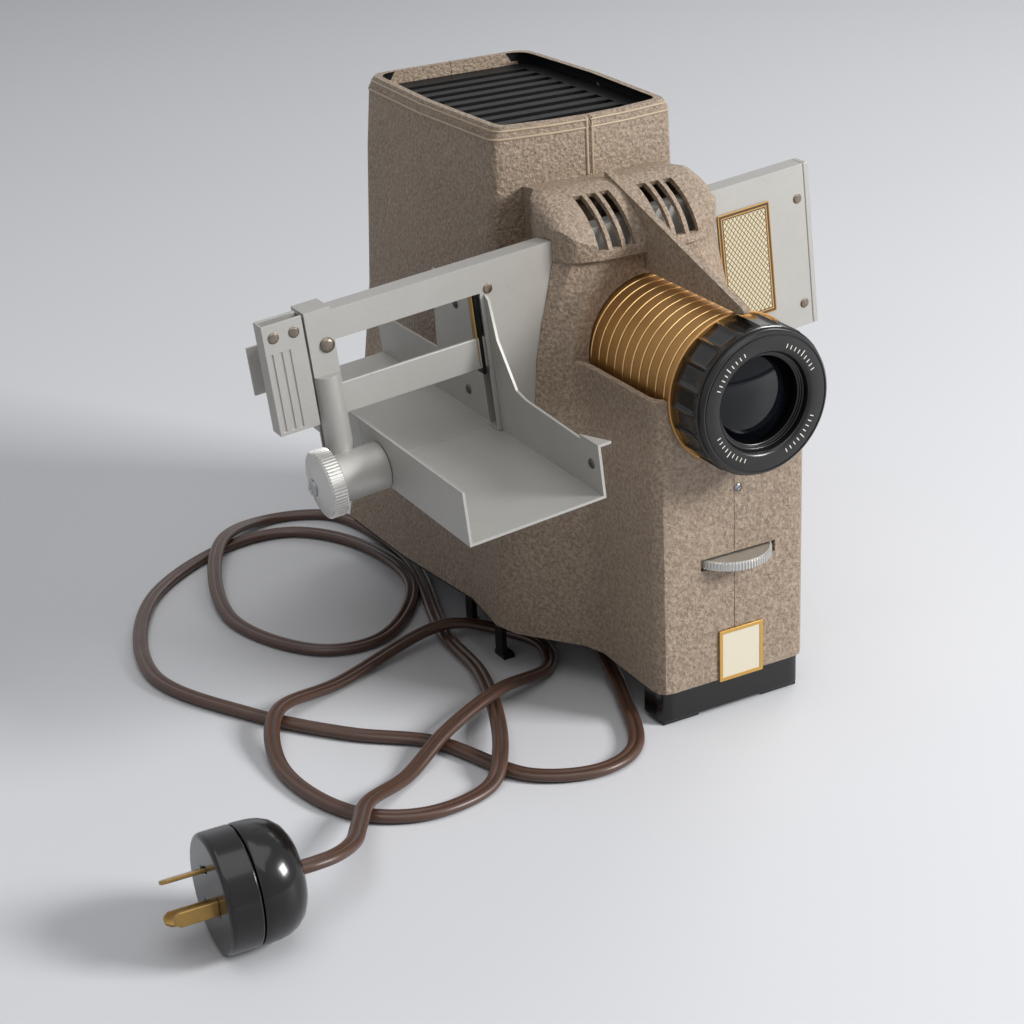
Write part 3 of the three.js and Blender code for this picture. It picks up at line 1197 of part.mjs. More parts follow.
machine.updateMatrixWorld(true);
const extent = new THREE.Box3().setFromObject(machine, true);
const lead = new THREE.Group();
buildLead(lead);

const projector = new THREE.Group();
projector.add(machine, lead);
projector.position.set(-(extent.min.x + extent.max.x) / 2, -(extent.min.y + extent.max.y) / 2, 0);

export default projector;
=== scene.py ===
# %% [markdown]
# # A slide projector of the 1950s
# The machine comes in as a frame of exact solids. This lesson dresses it. It sets up a camera, mixes the
# finishes, lays the mains lead, lights the table, and then takes the pieces in turn, from the castings to the
# badges. The scene is in metres. Places and profiles are written in millimetres.

# %% Load the frame
import bpy, bmesh, json, math
from mathutils import Vector, Matrix
from mathutils.bvhtree import BVHTree


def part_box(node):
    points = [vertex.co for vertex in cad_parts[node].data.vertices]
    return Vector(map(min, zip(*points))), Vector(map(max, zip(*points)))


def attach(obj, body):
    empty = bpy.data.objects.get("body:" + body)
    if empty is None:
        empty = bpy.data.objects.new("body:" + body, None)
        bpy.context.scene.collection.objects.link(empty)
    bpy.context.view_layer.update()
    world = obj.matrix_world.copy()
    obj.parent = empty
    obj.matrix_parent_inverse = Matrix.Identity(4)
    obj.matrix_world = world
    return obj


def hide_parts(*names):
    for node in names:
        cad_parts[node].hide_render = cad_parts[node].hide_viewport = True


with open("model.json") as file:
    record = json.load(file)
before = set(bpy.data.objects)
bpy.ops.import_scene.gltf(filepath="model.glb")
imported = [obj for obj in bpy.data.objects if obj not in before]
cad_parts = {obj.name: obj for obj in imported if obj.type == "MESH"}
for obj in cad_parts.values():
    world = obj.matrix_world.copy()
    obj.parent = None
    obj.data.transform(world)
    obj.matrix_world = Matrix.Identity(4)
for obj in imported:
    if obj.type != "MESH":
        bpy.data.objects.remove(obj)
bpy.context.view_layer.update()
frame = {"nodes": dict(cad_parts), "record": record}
nodes = frame["nodes"]
slot_of = {part["node"]: part["material_slot"] for part in frame["record"]["subparts"]}
body_of = {node: body for body, names in frame["record"]["behaviour"]["bodies"].items() for node in names}

# %% [markdown]
# ## A bench to measure from
# The lens is the heart of the machine, so places are given from its front ring: x to the viewer's right, y to
# the back, and z up from the table.

# %% Bench
MM = 0.001
ring_low, ring_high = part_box("face_ring")
lens_x, lens_y = (ring_low.x + ring_high.x) / 2, ring_low.y


def bench(x, y, z):
    """A place on the bench in millimetres, as a place in the scene."""
    return Vector((lens_x + x * MM, lens_y + y * MM, z * MM))


def put(name, data):
    """Adds an object to the scene."""
    made = bpy.data.objects.new(name, data)
    bpy.context.scene.collection.objects.link(made)
    return made


print("lens front at", round(lens_x, 4), round(lens_y, 4))

# %% [markdown]
# ## Camera
# A long lens, a little to the viewer's left and above, with a slight roll. The three directions are built
# from the angle round the machine and the height above it, and go straight into the camera's matrix.

# %% Camera
VIEW_TURN, VIEW_LIFT, VIEW_ROLL = (math.radians(angle) for angle in (-27.46, 24.15, -2.75))
SENSOR_WIDTH, FOCAL_LENGTH, SIGHT_LIMIT = 36, 76.87, 20

camera_data = bpy.data.cameras.new("camera")
camera_data.sensor_width = SENSOR_WIDTH
camera_data.lens = FOCAL_LENGTH
camera_data.clip_end = SIGHT_LIMIT
camera = put("camera", camera_data)
level = math.cos(VIEW_LIFT)
back = Vector((math.sin(VIEW_TURN) * level, -math.cos(VIEW_TURN) * level, math.sin(VIEW_LIFT)))
side = (-back).cross(Vector((0, 0, 1))).normalized()
over = side.cross(-back)
right = side * math.cos(VIEW_ROLL) + over * math.sin(VIEW_ROLL)
up = over * math.cos(VIEW_ROLL) - side * math.sin(VIEW_ROLL)
camera.matrix_world = Matrix((
    (right.x, up.x, back.x, 0), (right.y, up.y, back.y, 0), (right.z, up.z, back.z, 0), (0, 0, 0, 1)))
camera.location = bench(-472.6, -682.2, 478.1)
bpy.context.scene.camera = camera
print("camera at", [round(v, 3) for v in camera.location])

# %% [markdown]
# ## Shader maths as plain expressions
# A finish is easier to read as a sum than as a web of boxes. Wrapping a socket in a small class lets + and *
# add the Math nodes.

# %% Expressions for finishes
class Wire:
    """A value in a node tree that can be used in sums."""

    def __init__(self, ink, socket):
        self.ink, self.socket = ink, socket

    def _math(self, operation, a, b=0.0):
        return self.ink.node("ShaderNodeMath", {"operation": operation}, [a, b])

    def __add__(self, other): return self._math("ADD", self, other)
    def __radd__(self, other): return self._math("ADD", other, self)
    def __sub__(self, other): return self._math("SUBTRACT", self, other)
    def __rsub__(self, other): return self._math("SUBTRACT", other, self)
    def __mul__(self, other): return self._math("MULTIPLY", self, other)
    def __rmul__(self, other): return self._math("MULTIPLY", other, self)
    def __truediv__(self, other): return self._math("DIVIDE", self, other)
    def __lt__(self, other): return self._math("LESS_THAN", self, other)
    def absolute(self): return self._math("ABSOLUTE", self)
    def fraction(self): return self._math("FRACT", self)
    def larger(self, other): return self._math("MAXIMUM", self, other)


class Finish:
    """A material with one shader, and one way to add any node."""

    def __init__(self, name, **constants):
        self.material = bpy.data.materials.new(name)
        self.material.use_nodes = True
        self.tree = self.material.node_tree
        self.shader = self.tree.nodes["Principled BSDF"]
        for key, value in constants.items():
            self.shader.inputs[key.replace("_", " ")].default_value = value

    def node(self, kind, settings=None, values=(), out=0):
        made = self.tree.nodes.new(kind)
        for key, value in (settings or {}).items():
            if key == "stops":
                ramp = made.color_ramp
                while len(ramp.elements) < len(value):
                    ramp.elements.new(0.5)
                for element, (place, grey) in zip(ramp.elements, value):
                    element.position = place
                    element.color = (grey, grey, grey, 1)
            else:
                setattr(made, key, value)
        pairs = values.items() if isinstance(values, dict) else enumerate(values)
        for key, value in pairs:
            if isinstance(value, Wire):
                self.tree.links.new(value.socket, made.inputs[key])
            else:
                made.inputs[key].default_value = value
        return Wire(self, made.outputs[out])

    def where(self, kind="Object"):
        return self.node("ShaderNodeTexCoord", out=kind)

    def noise(self, scale, detail, rough=0.5):
        return self.node("ShaderNodeTexNoise", {}, {
            "Vector": self.where(), "Scale": scale, "Detail": detail, "Roughness": rough})

    def pebbles(self, scale):
        return self.node("ShaderNodeTexVoronoi", {"feature": "SMOOTH_F1"}, {
            "Vector": self.where(), "Scale": scale})

    def ramp(self, value, *stops):
        return self.node("ShaderNodeValToRGB", {"stops": stops}, [value])

    def blend(self, share, a, b):
        return self.node("ShaderNodeMix", {"data_type": "RGBA"}, {0: share, 6: a, 7: b}, out=2)

    def feed(self, **wires):
        for key, wire in wires.items():
            self.tree.links.new(wire.socket, self.shader.inputs[key.replace("_", " ")])

    def relief(self, height, depth, strength):
        self.feed(Normal=self.node("ShaderNodeBump", {}, {
            "Height": height, "Distance": depth, "Strength": strength}))


def rgb(*screen):
    """A colour read off a screen, from 0 to 255, as the light it stands for."""
    shares = [value / 255 for value in screen]
    return tuple(c / 12.92 if c <= 10 / 255 else ((c + 0.055) / 1.055) ** 2.4 for c in shares) + (1,)


def darker(tint, share):
    return rgb(*(value * share for value in tint))


# %% [markdown]
# ## Finishes
# The castings wear a wrinkled crackle paint in warm taupe: soft blisters about two millimetres across with
# fine creases between, and a faint sparkle. The brightwork is satin aluminium sheet and a gold barrel. Scales
# count how often a pattern repeats in a metre.

# %% Crackle paint
def crackle_paint():
    paint = Finish("crackle_paint", IOR=1.5, Specular_IOR_Level=0.4)
    blisters, grain = paint.noise(620, 3, rough=0.6), paint.noise(1500, 2, rough=0.6)
    pebbles = paint.ramp(paint.pebbles(560), (0.0, 1.0), (0.6, 0.2), (0.9, 0.0))
    height = blisters * 0.9 + pebbles * 0.5 + grain * 0.25
    # The light and dark speckle follows the blister height. Besides the paint's own mottle, it is a painted
    # highlight on the blister tops and painted shade in the creases.
    speck = paint.ramp(grain * 0.4 + blisters * 0.6, (0.4, 0.0), (0.62, 1.0))
    tone = paint.blend(speck, rgb(126, 109, 93), rgb(177, 159, 139))
    tone = paint.blend(paint.noise(18, 3) * 0.35, tone, rgb(143, 124, 106))
    glint = paint.ramp(grain, (0.58, 0.0), (0.7, 1.0))
    paint.feed(Base_Color=tone, Roughness=0.52 - glint * 0.2)
    paint.relief(height, depth=0.0009, strength=0.8)
    return paint.material


# %% Aluminium, gold and steel
def satin_aluminium(name, tint, rough, metallic):
    """Brushed metal with faint stains, and small dull specks where it has been scuffed."""
    metal = Finish(name, Specular_IOR_Level=0.6)
    brush = metal.noise(900, 3)
    dirt = metal.ramp(metal.noise(38, 4, rough=0.6), (0.4, 0.0), (0.75, 1.0))
    speck = metal.ramp(metal.noise(420, 3, rough=0.7), (0.66, 0.0), (0.74, 1.0))
    clean = metal.blend(dirt * 0.2, rgb(*tint), darker(tint, 0.84))
    metal.feed(Base_Color=metal.blend(speck * 0.35, clean, darker(tint, 0.6)),
               Metallic=metallic - speck * 0.3, Roughness=rough + brush * 0.1 + dirt * 0.08)
    metal.relief(brush, depth=0.00006, strength=0.35)
    return metal.material


def gold_metal(name, dull, bright, rough):
    metal = Finish(name, Metallic=0.9)
    mist = metal.noise(60, 3)
    metal.feed(Base_Color=metal.blend(mist, rgb(*dull), rgb(*bright)), Roughness=rough + mist * 0.12)
    return metal.material


# %% Black pieces, glass and the rest
def black_gloss(name, rough):
    black = Finish(name, IOR=1.5, Coat_Weight=0.2, Specular_IOR_Level=0.35)
    haze = black.noise(70, 4)
    black.feed(Base_Color=black.blend(haze, rgb(9, 8, 9), rgb(18, 17, 18)), Roughness=rough + haze * 0.1)
    return black.material


def black_enamel():
    black = Finish("black_enamel", Specular_IOR_Level=0.16)
    dust = black.noise(220, 4)
    black.feed(Base_Color=black.blend(dust, rgb(12, 11, 12), rgb(24, 22, 22)), Roughness=0.42 + dust * 0.16)
    black.relief(dust, depth=0.0001, strength=0.4)
    return black.material


def plain(name, tint, metallic, rough, spread=0.12, scale=120):
    """One colour with clouds in it, rougher where it is darker."""
    made = Finish(name, Metallic=metallic)
    cloud = made.noise(scale, 4)
    made.feed(Base_Color=made.blend(cloud, rgb(*tint), darker(tint, 1 - spread)),
              Roughness=rough * 0.85 + cloud * rough * 0.3)
    made.relief(cloud, depth=0.00005, strength=0.3)
    return made.material


def clear_glass():
    return Finish("clear_glass", Transmission_Weight=0.92, IOR=1.5, Roughness=0.03,
                  Base_Color=rgb(232, 238, 248)).material


def dark_glass():
    """The first glass as the camera finds it, opaque and near black: painted shade standing for the dark
    inside of the lens, with a bluish tint that shows only in the highlights.
    """
    glass = Finish("front_glass_with_painted_shade", IOR=1.62, Specular_IOR_Level=0.2, Coat_Weight=0.1,
                   Coat_Roughness=0.02)
    depth = glass.noise(30, 2)
    glass.feed(Base_Color=glass.blend(depth, rgb(6, 7, 10), rgb(14, 16, 22)), Roughness=0.03 + depth * 0.03)
    return glass.material


finishes = {
    "housing_paint": crackle_paint(),
    "aluminium_sheet": satin_aluminium("satin_sheet", (178, 176, 171), rough=0.46, metallic=0.55),
    "turned_aluminium": satin_aluminium("turned_aluminium", (204, 203, 199), rough=0.28, metallic=0.9),
    "gold_anodised": gold_metal("gold_barrel", (170, 126, 74), (196, 150, 94), rough=0.36),
    "black_gloss_plastic": black_gloss("black_moulding", rough=0.16),
    "black_enamel": black_enamel(),
    "steel": plain("plated_steel", (168, 170, 172), 0.95, 0.32),
    "brass": plain("worn_brass", (176, 142, 84), 0.95, 0.3, spread=0.25),
    "glass": clear_glass(),
    "mirror_coating": plain("mirror_coating", (232, 232, 232), 1.0, 0.05, spread=0.02),
    "cream_ceramic": plain("cream_ceramic", (222, 214, 196), 0.0, 0.4),
    "badge_print": plain("badge_print", (226, 216, 184), 0.0, 0.35),
    "brown_rubber": plain("brown_flex", (88, 62, 50), 0.0, 0.36, spread=0.2),
}
# A brighter gold for the barrel's rings: partly polished metal, partly a painted highlight.
polished_gold_with_painted_highlight = gold_metal("polished_gold_with_painted_highlight", (236, 196, 128), (250, 216, 156), rough=0.2)
worn_rivet = plain("worn_rivet", (150, 138, 124), 0.9, 0.32, spread=0.35, scale=300)
dark_steel = plain("dark_steel", (96, 94, 92), 0.9, 0.38, spread=0.3, scale=300)
# Lighter paint for the beads and the seam lip: worn paint, and a painted highlight along these ridges.
worn_paint_with_painted_highlight = plain("worn_paint_with_painted_highlight", (186, 166, 141), 0.0, 0.42, spread=0.15, scale=300)
white_mark = plain("white_mark", (226, 222, 210), 0.0, 0.5, spread=0.05)
print("finishes:", ", ".join(sorted(finishes)))

# %% [markdown]
# ## The mains lead
# A twin flex is two insulated wires moulded side by side, so its section is a flat figure of eight. One
# smooth curve runs through the places where the lead lies, and the section is carried along it, kept level as
# the real one is by the table. Where it crosses itself, it climbs over.

# %% Route of the lead
ROUTE = (
    (-24, 108, 10), (-39.5, 52.4, 4.4), (-57.6, 13.8, 2.7), (-77.8, 6, 2.7), (-105.5, 18.4, 2.7),
    (-127.3, 64.8, 2.7), (-155.3, 91.3, 2.7), (-185.8, 132.2, 2.7), (-209.9, 190, 2.7),
    (-182.9, 266.8, 2.7), (-128.4, 304.1, 2.7), (-93.5, 302.9, 2.7), (-69.7, 271.3, 2.7),
    (-66.5, 211.2, 2.7), (-104.7, 166.1, 2.7), (-133.3, 170.2, 2.7), (-157.4, 223.5, 2.7),
    (-131.2, 301.7, 7.9), (-95.7, 323.8, 2.7), (-65.4, 309.1, 2.7), (-55.5, 239.8, 2.7),
    (-78, 152, 2.7), (-82, 108, 2.7), (-112, 33, 7.9), (-123.9, 20, 2.7), (-155.3, 14.5, 2.7),
    (-181.2, 31.7, 2.7), (-192.4, 80.4, 2.7), (-177.7, 118.5, 7.9), (-140.4, 136.4, 2.7),
    (-76, 152.1, 7.9), (-52.2, 140.3, 2.7), (-44.4, 118.3, 2.7), (-53.8, 95.9, 3.4), (-87.6, 79.1, 9.9),
    (-123.3, 61.6, 7.9), (-150, 45.1, 3), (-175.9, 27.9, 7.9), (-189.3, 6.8, 13.2),
    (-200.7, -12.4, 18.8), (-212.5, -22.7, 22.8), (-222.1, -25.2, 24), (-228, -25, 24))
STEPS_PER_SPAN = 16


def smooth_run(points):
    """A curve through the points that turns evenly, however far apart they lie."""
    ends = [points[0] * 2 - points[1]] + list(points) + [points[-1] * 2 - points[-2]]
    run = []
    for a, b, c, d in zip(ends, ends[1:], ends[2:], ends[3:]):
        before, here, after = ((q - p).length ** 0.5 for p, q in ((a, b), (b, c), (c, d)))
        leave = ((b - a) / before - (c - a) / (before + here) + (c - b) / here) * here
        reach = ((c - b) / here - (d - b) / (here + after) + (d - c) / after) * here
        for step in range(STEPS_PER_SPAN):
            t = step / STEPS_PER_SPAN
            run.append(b + leave * t + (3 * (c - b) - 2 * leave - reach) * t ** 2
                       + (2 * (b - c) + leave + reach) * t ** 3)
    return run + [points[-1]]


route = [bench(*place) for place in ROUTE]
lead_run = smooth_run(route)
lead_length = sum((q - p).length for p, q in zip(lead_run, lead_run[1:]))
print("lead:", round(lead_length, 3), "m")

# %% Sweep the flex
CORD_WIDTH, CORD_THICK = 7.2 * MM, 4.0 * MM
WIRE_POINTS, WIRE_ARC = 18, math.radians(138)


def flex_section():
    """The figure of eight, as points across and up."""
    r, apart = CORD_THICK / 2, (CORD_WIDTH - CORD_THICK) / 2
    ring = []
    for middle, turn in ((apart, 0), (-apart, math.pi)):
        for k in range(WIRE_POINTS):
            a = turn - WIRE_ARC + 2 * WIRE_ARC * k / (WIRE_POINTS - 1)
            ring.append((middle + r * math.cos(a), r * math.sin(a)))
    return ring


def round_section(radius, sides=10):
    """A circle, as points across and up."""
    angles = [2 * math.pi * k / sides for k in range(sides)]
    return [(radius * math.cos(a), radius * math.sin(a)) for a in angles]


def bridge(shape, rings, smooth=False):
    """Skins neighbouring rings of corners with four-sided faces."""
    for a, b in zip(rings, rings[1:]):
        for k in range(len(a)):
            j = (k + 1) % len(a)
            shape.faces.new((a[k], a[j], b[j], b[k])).smooth = smooth


def close_ends(shape, rings):
    shape.faces.new(rings[0][::-1])
    shape.faces.new(rings[-1])


def swept(name, points, section):
    """A closed tube of any section along a run of points, with its section kept upright."""
    shape = bmesh.new()
    rings = []
    for k, p in enumerate(points):
        ahead = (points[min(k + 1, len(points) - 1)] - points[max(k - 1, 0)]).normalized()
        across = ahead.cross(Vector((0, 0, 1))).normalized()
        above = across.cross(ahead)
        rings.append([shape.verts.new(p + across * u + above * v) for u, v in section])
    bridge(shape, rings, smooth=True)
    close_ends(shape, rings)
    bmesh.ops.recalc_face_normals(shape, faces=shape.faces)
    mesh = bpy.data.meshes.new(name)
    shape.to_mesh(mesh)
    shape.free()
    return put(name, mesh)


lead = swept("twin_flex", lead_run, flex_section())
lead.data.materials.append(finishes["brown_rubber"])
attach(lead, body_of["mains_cord"])
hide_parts("mains_cord")
print("flex faces:", len(lead.data.polygons))

# %% [markdown]
# ## Table and light
# A pale table that runs on to the horizon, a soft key light in front and to the right of the lens, a wide one
# overhead, and two weak ones that lift the shadows. The camera, and what shines or is clear, sees a pale grey
# room; the rest gets only a little of its light.

# %% Stage
TABLE_REACH = 6
ROOM_SEEN, ROOM_SEEN_POWER = (0.66, 0.67, 0.69, 1), 1.0
ROOM_LIT, ROOM_LIT_POWER = (0.93, 0.95, 1.0, 1), 0.13


def soft_light(name, place, aim, size, power):
    """A rectangular lamp of a size in metres that looks from one place to another."""
    data = bpy.data.lights.new(name, "AREA")
    data.shape = "RECTANGLE"
    data.size, data.size_y = size
    data.energy = power
    lamp = put(name, data)
    lamp.location = place
    lamp.rotation_euler = (aim - place).to_track_quat("-Z", "Y").to_euler()


table_mesh = bpy.data.meshes.new("table")
table_corners = [(x * TABLE_REACH, y * TABLE_REACH, 0) for x, y in ((-1, -1), (1, -1), (1, 1), (-1, 1))]
table_mesh.from_pydata(table_corners, [], [range(len(table_corners))])
table = put("table", table_mesh)
sweep = Finish("pale_sweep", Roughness=0.55)
sweep.feed(Base_Color=sweep.blend(sweep.noise(3, 2) * 0.4, rgb(221, 222, 225), rgb(213, 214, 218)))
table_mesh.materials.append(sweep.material)

world = bpy.data.worlds.new("studio")
bpy.context.scene.world = world
world.use_nodes = True
tree = world.node_tree
tree.nodes.clear()
out, rays, seen, lit, clear, shown, either = (tree.nodes.new("ShaderNode" + kind) for kind in (
    "OutputWorld", "LightPath", "Background", "Background", "Math", "Math", "MixShader"))
seen.inputs[0].default_value, seen.inputs[1].default_value = ROOM_SEEN, ROOM_SEEN_POWER
lit.inputs[0].default_value, lit.inputs[1].default_value = ROOM_LIT, ROOM_LIT_POWER
clear.operation = shown.operation = "MAXIMUM"
for a, b in ((rays.outputs["Is Glossy Ray"], clear.inputs[0]),
             (rays.outputs["Is Transmission Ray"], clear.inputs[1]),
             (clear.outputs[0], shown.inputs[0]), (rays.outputs["Is Camera Ray"], shown.inputs[1]),
             (shown.outputs[0], either.inputs[0]), (lit.outputs[0], either.inputs[1]),
             (seen.outputs[0], either.inputs[2]), (either.outputs[0], out.inputs[0])):
    tree.links.new(a, b)

soft_light("key", bench(1350, -1350, 1150), bench(0, 40, 100), (0.65, 0.65), 52)
soft_light("rim", bench(1500, 1100, 1250), bench(0, 100, 120), (0.8, 0.8), 6)
soft_light("fill", bench(-2100, -1300, 1500), bench(0, 80, 120), (2.2, 1.6), 2)
soft_light("top", bench(-300, -500, 2400), bench(0, 0, 100), (2.4, 2.4), 26)
bpy.context.scene.view_settings.view_transform = "Standard"
print("stage ready")

# %% [markdown]
# ## Dressing a solid
# A solid off the frame has knife edges. Real sheet is deburred and real castings are rounded, so a copy of
# each solid is welded, its flat faces are joined up, and every sharp edge gets a small bevel that catches the
# light.

# %% Dress
WELD, FLAT = 0.02 * MM, math.radians(0.6)
FACE_PULL = 90


def coated(made, material):
    made.data.materials.clear()
    made.data.materials.append(material)
    return made


def finished(made, node):
    """Hands a piece over: it stands for its node and moves with it."""
    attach(made, body_of[node])
    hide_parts(node)
    return made


def trim(made, node, material):
    """A small extra piece that goes along with a node."""
    coated(made, material)
    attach(made, body_of[node])


def recoat(made, material, spots, reach=2.6):
    """Gives the faces round each spot another finish, as on the rivets of a plate."""
    made.data.materials.append(material)
    other = len(made.data.materials) - 1
    for face in made.data.polygons:
        if any((face.center - spot).length < reach * MM for spot in spots):
            face.material_index = other


def settle(made):
    """Applies what modifiers a piece has and leaves a plain mesh."""
    bpy.context.view_layer.update()
    evaluated = made.evaluated_get(bpy.context.evaluated_depsgraph_get())
    mesh = bpy.data.meshes.new_from_object(evaluated)
    made.modifiers.clear()
    made.data = mesh


def shaded(mesh, smooth):
    """Smooth, but for the edges that turn by more than a number of degrees."""
    mesh.shade_smooth()
    mesh.set_sharp_from_angle(angle=math.radians(smooth))


def dressed(node, edge, segments=2, sharp=28, smooth=38):
    """A copy of a node with edges softened by some millimetres, and flat faces that still look flat."""
    mesh = nodes[node].data.copy()
    shape = bmesh.new()
    shape.from_mesh(mesh)
    bmesh.ops.remove_doubles(shape, verts=shape.verts, dist=WELD)
    bmesh.ops.dissolve_limit(shape, angle_limit=FLAT, verts=shape.verts, edges=shape.edges)
    shape.to_mesh(mesh)
    shape.free()
    shaded(mesh, smooth)
    mesh.name = node + "_dressed"
    made = put(node + "_dressed", mesh)
    bevel = made.modifiers.new("soft edge", "BEVEL")
    bevel.width = edge * MM
    bevel.segments = segments
    bevel.limit_method = "ANGLE"
    bevel.angle_limit = math.radians(sharp)
    even = made.modifiers.new("flat faces", "WEIGHTED_NORMAL")
    even.keep_sharp = True
    even.weight = FACE_PULL
    settle(made)
    return finished(coated(made, finishes[slot_of[node]]), node)


for node, part in nodes.items():
    coated(part, finishes[slot_of[node]])
print("all nodes carry a finish")

# %% [markdown]
# ## Two ways to make a piece from nothing
# Most round pieces were turned on a lathe, so a profile spun round an axis makes them. What repeats round an
# axis, such as the ribs of a knurl, is modelled once and set out by Geometry Nodes.

# %% Spin a profile
TOUCHING, NO_AREA = 1e-6, 1e-13
LENS_HEIGHT, CHANGER_HEIGHT, CHANGER_ROLL = 151.5, 206.4, math.radians(-5.31)


def moved(x, y, z):
    return Matrix.Translation(Vector((x, y, z)) * MM)


def turned(angle, axis):
    return Matrix.Rotation(angle, 4, axis)


at_lens = Matrix.Translation(bench(0, 0, LENS_HEIGHT))
at_changer = Matrix.Translation(bench(0, 0, CHANGER_HEIGHT)) @ turned(CHANGER_ROLL, "Y")


def new_piece(name, shape, smooth=34):
    """A scene object from a drawn shape, welded, rid of empty faces and turned outward."""
    bmesh.ops.remove_doubles(shape, verts=shape.verts, dist=TOUCHING)
    empty = [face for face in shape.faces if face.calc_area() < NO_AREA]
    bmesh.ops.delete(shape, geom=empty, context="FACES_ONLY")
    bmesh.ops.recalc_face_normals(shape, faces=shape.faces)
    mesh = bpy.data.meshes.new(name)
    shape.to_mesh(mesh)
    shape.free()
    shaded(mesh, smooth)
    return put(name, mesh)


def spun(name, profile, place, sides=96, smooth=34, shrink=None):
    """Spins points (radius, how far back) about the y axis; shrink takes something off a point's radius."""
    shape = bmesh.new()
    rings = []
    for radius, back_by in profile:
        ring = []
        for k in range(sides):
            a = 2 * math.pi * k / sides
            r = radius - (shrink(radius, back_by, a) if shrink else 0)
            ring.append(shape.verts.new(place @ (Vector((r * math.cos(a), back_by, r * math.sin(a))) * MM)))
        rings.append(ring)
    bridge(shape, rings + rings[:1])
    return new_piece(name, shape, smooth)


# %% Repeat an item round an axis
def ring_tree():
    tree = bpy.data.node_groups.new("ring_of_items", "GeometryNodeTree")
    for label, kind in (("Item", "Geometry"), ("Count", "Int"), ("Turn", "Vector"), ("Finish", "Material")):
        tree.interface.new_socket(label, in_out="INPUT", socket_type="NodeSocket" + kind)
    tree.interface.new_socket("Geometry", in_out="OUTPUT", socket_type="NodeSocketGeometry")
    kinds = ("NodeGroupInput", "NodeGroupOutput", "GeometryNodeMeshLine", "GeometryNodeInstanceOnPoints",
             "GeometryNodeInputIndex", "ShaderNodeVectorMath", "GeometryNodeRealizeInstances",
             "GeometryNodeSetMaterial")
    enter, leave, line, put_on, index, times, real, coat = (tree.nodes.new(kind) for kind in kinds)
    line.mode = "OFFSET"
    line.inputs["Offset"].default_value = (0, 0, 0)
    times.operation = "SCALE"
    for a, b in ((enter.outputs["Count"], line.inputs["Count"]), (line.outputs[0], put_on.inputs["Points"]),
                 (enter.outputs["Item"], put_on.inputs["Instance"]), (enter.outputs["Turn"], times.inputs[0]),
                 (index.outputs[0], times.inputs["Scale"]), (times.outputs[0], put_on.inputs["Rotation"]),
                 (put_on.outputs[0], real.inputs[0]), (real.outputs[0], coat.inputs["Geometry"]),
                 (enter.outputs["Finish"], coat.inputs["Material"]), (coat.outputs[0], leave.inputs[0])):
        tree.links.new(a, b)
    return tree


ring_of_items = ring_tree()


def ringed(item, count, material, place):
    """Sets an item out evenly round the y axis, then puts the whole ring in its place."""
    repeat = item.modifiers.new("repeat", "NODES")
    repeat.node_group = ring_of_items
    values = {"Count": count, "Turn": (0, 2 * math.pi / count, 0), "Finish": material}
    for socket in ring_of_items.interface.items_tree:
        if socket.name in values:
            repeat[socket.identifier] = values[socket.name]
    settle(item)
    item.data.transform(place)
    return item


def joined(name, first, second):
    """Makes one mesh of two pieces that share a finish."""
    shape = bmesh.new()
    mesh = bpy.data.meshes.new(name)
    mesh.materials.append(first.data.materials[0])
    for part in (first, second):
        shape.from_mesh(part.data)
        bpy.data.objects.remove(part)
    shape.to_mesh(mesh)
    shape.free()
    return put(name, mesh)


# %% [markdown]
# ## Castings
# The housing and the hood are die castings: the corners are soft, and the paint rounds them further. The
# solids already have the form, so their edges are eased and the crackle paint does the rest. Two beads run
# round the housing under the rim, and a lip follows the seam where its halves meet.

# %% Housing and hood
castings = {}  # the dressed pieces, which the beads and the lining are fitted to
for node, edge in (("housing_left", 0.9), ("housing_right", 0.9), ("louvre_hood", 0.7)):
    castings[node] = dressed(node, edge, segments=3, sharp=40, smooth=44)
    print(node, len(castings[node].data.polygons), "faces")

# %% Beads under the rim
# The beads and the seam lip are in lighter paint: worn paint, and a painted highlight along the ridges.
FROM_OUTSIDE = 0.3
SEAM_GAP, BEAD_STEPS, BEAD_DROPS, BEAD_RADIUS = 0.35, 240, (1.9, 5.4), 0.55
LIP_OFF_SEAM, LIP_POINTS, LIP_DROP, LIP_STEP, LIP_RADIUS = 1.3, 15, 0.8, 1.9, 0.7


def skin_of(node):
    mesh = castings[node].data
    return BVHTree.FromPolygons([v.co for v in mesh.vertices], [face.vertices for face in mesh.polygons])


def felt_round(node, centre, turns):
    """Points on the outside of a node at the centre's height, found by rays shot in from all round."""
    skin = skin_of(node)
    points = []
    for turn in turns:
        out = Vector((math.cos(turn), math.sin(turn), 0))
        hit = skin.ray_cast(centre + out * FROM_OUTSIDE, -out)[0]
        if hit is not None:
            points.append(hit)
    return points


rim_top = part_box("housing_left")[1].z
middle = bench(0, 200, 0)
for node, start in (("housing_left", 90), ("housing_right", -90)):
    first, last = start + SEAM_GAP, start + 180 - SEAM_GAP
    turns = [math.radians(first + (last - first) * k / BEAD_STEPS) for k in range(BEAD_STEPS + 1)]
    for drop in BEAD_DROPS:
        middle.z = rim_top - drop * MM
        path = felt_round(node, middle, turns)
        trim(swept(f"{node}_bead_{int(drop)}", path, round_section(BEAD_RADIUS * MM)), node, worn_paint_with_painted_highlight)

for node, side in (("housing_left", -1), ("housing_right", 1)):
    skin, edge = skin_of(node), []
    for k in range(LIP_POINTS):
        start = bench(side * LIP_OFF_SEAM, 60, 0)
        start.z = rim_top - (LIP_DROP + LIP_STEP * k) * MM
        edge.append(skin.ray_cast(start, Vector((0, 1, 0)))[0])
    trim(swept(f"{node}_seam_lip", edge, round_section(LIP_RADIUS * MM)), node, worn_paint_with_painted_highlight)
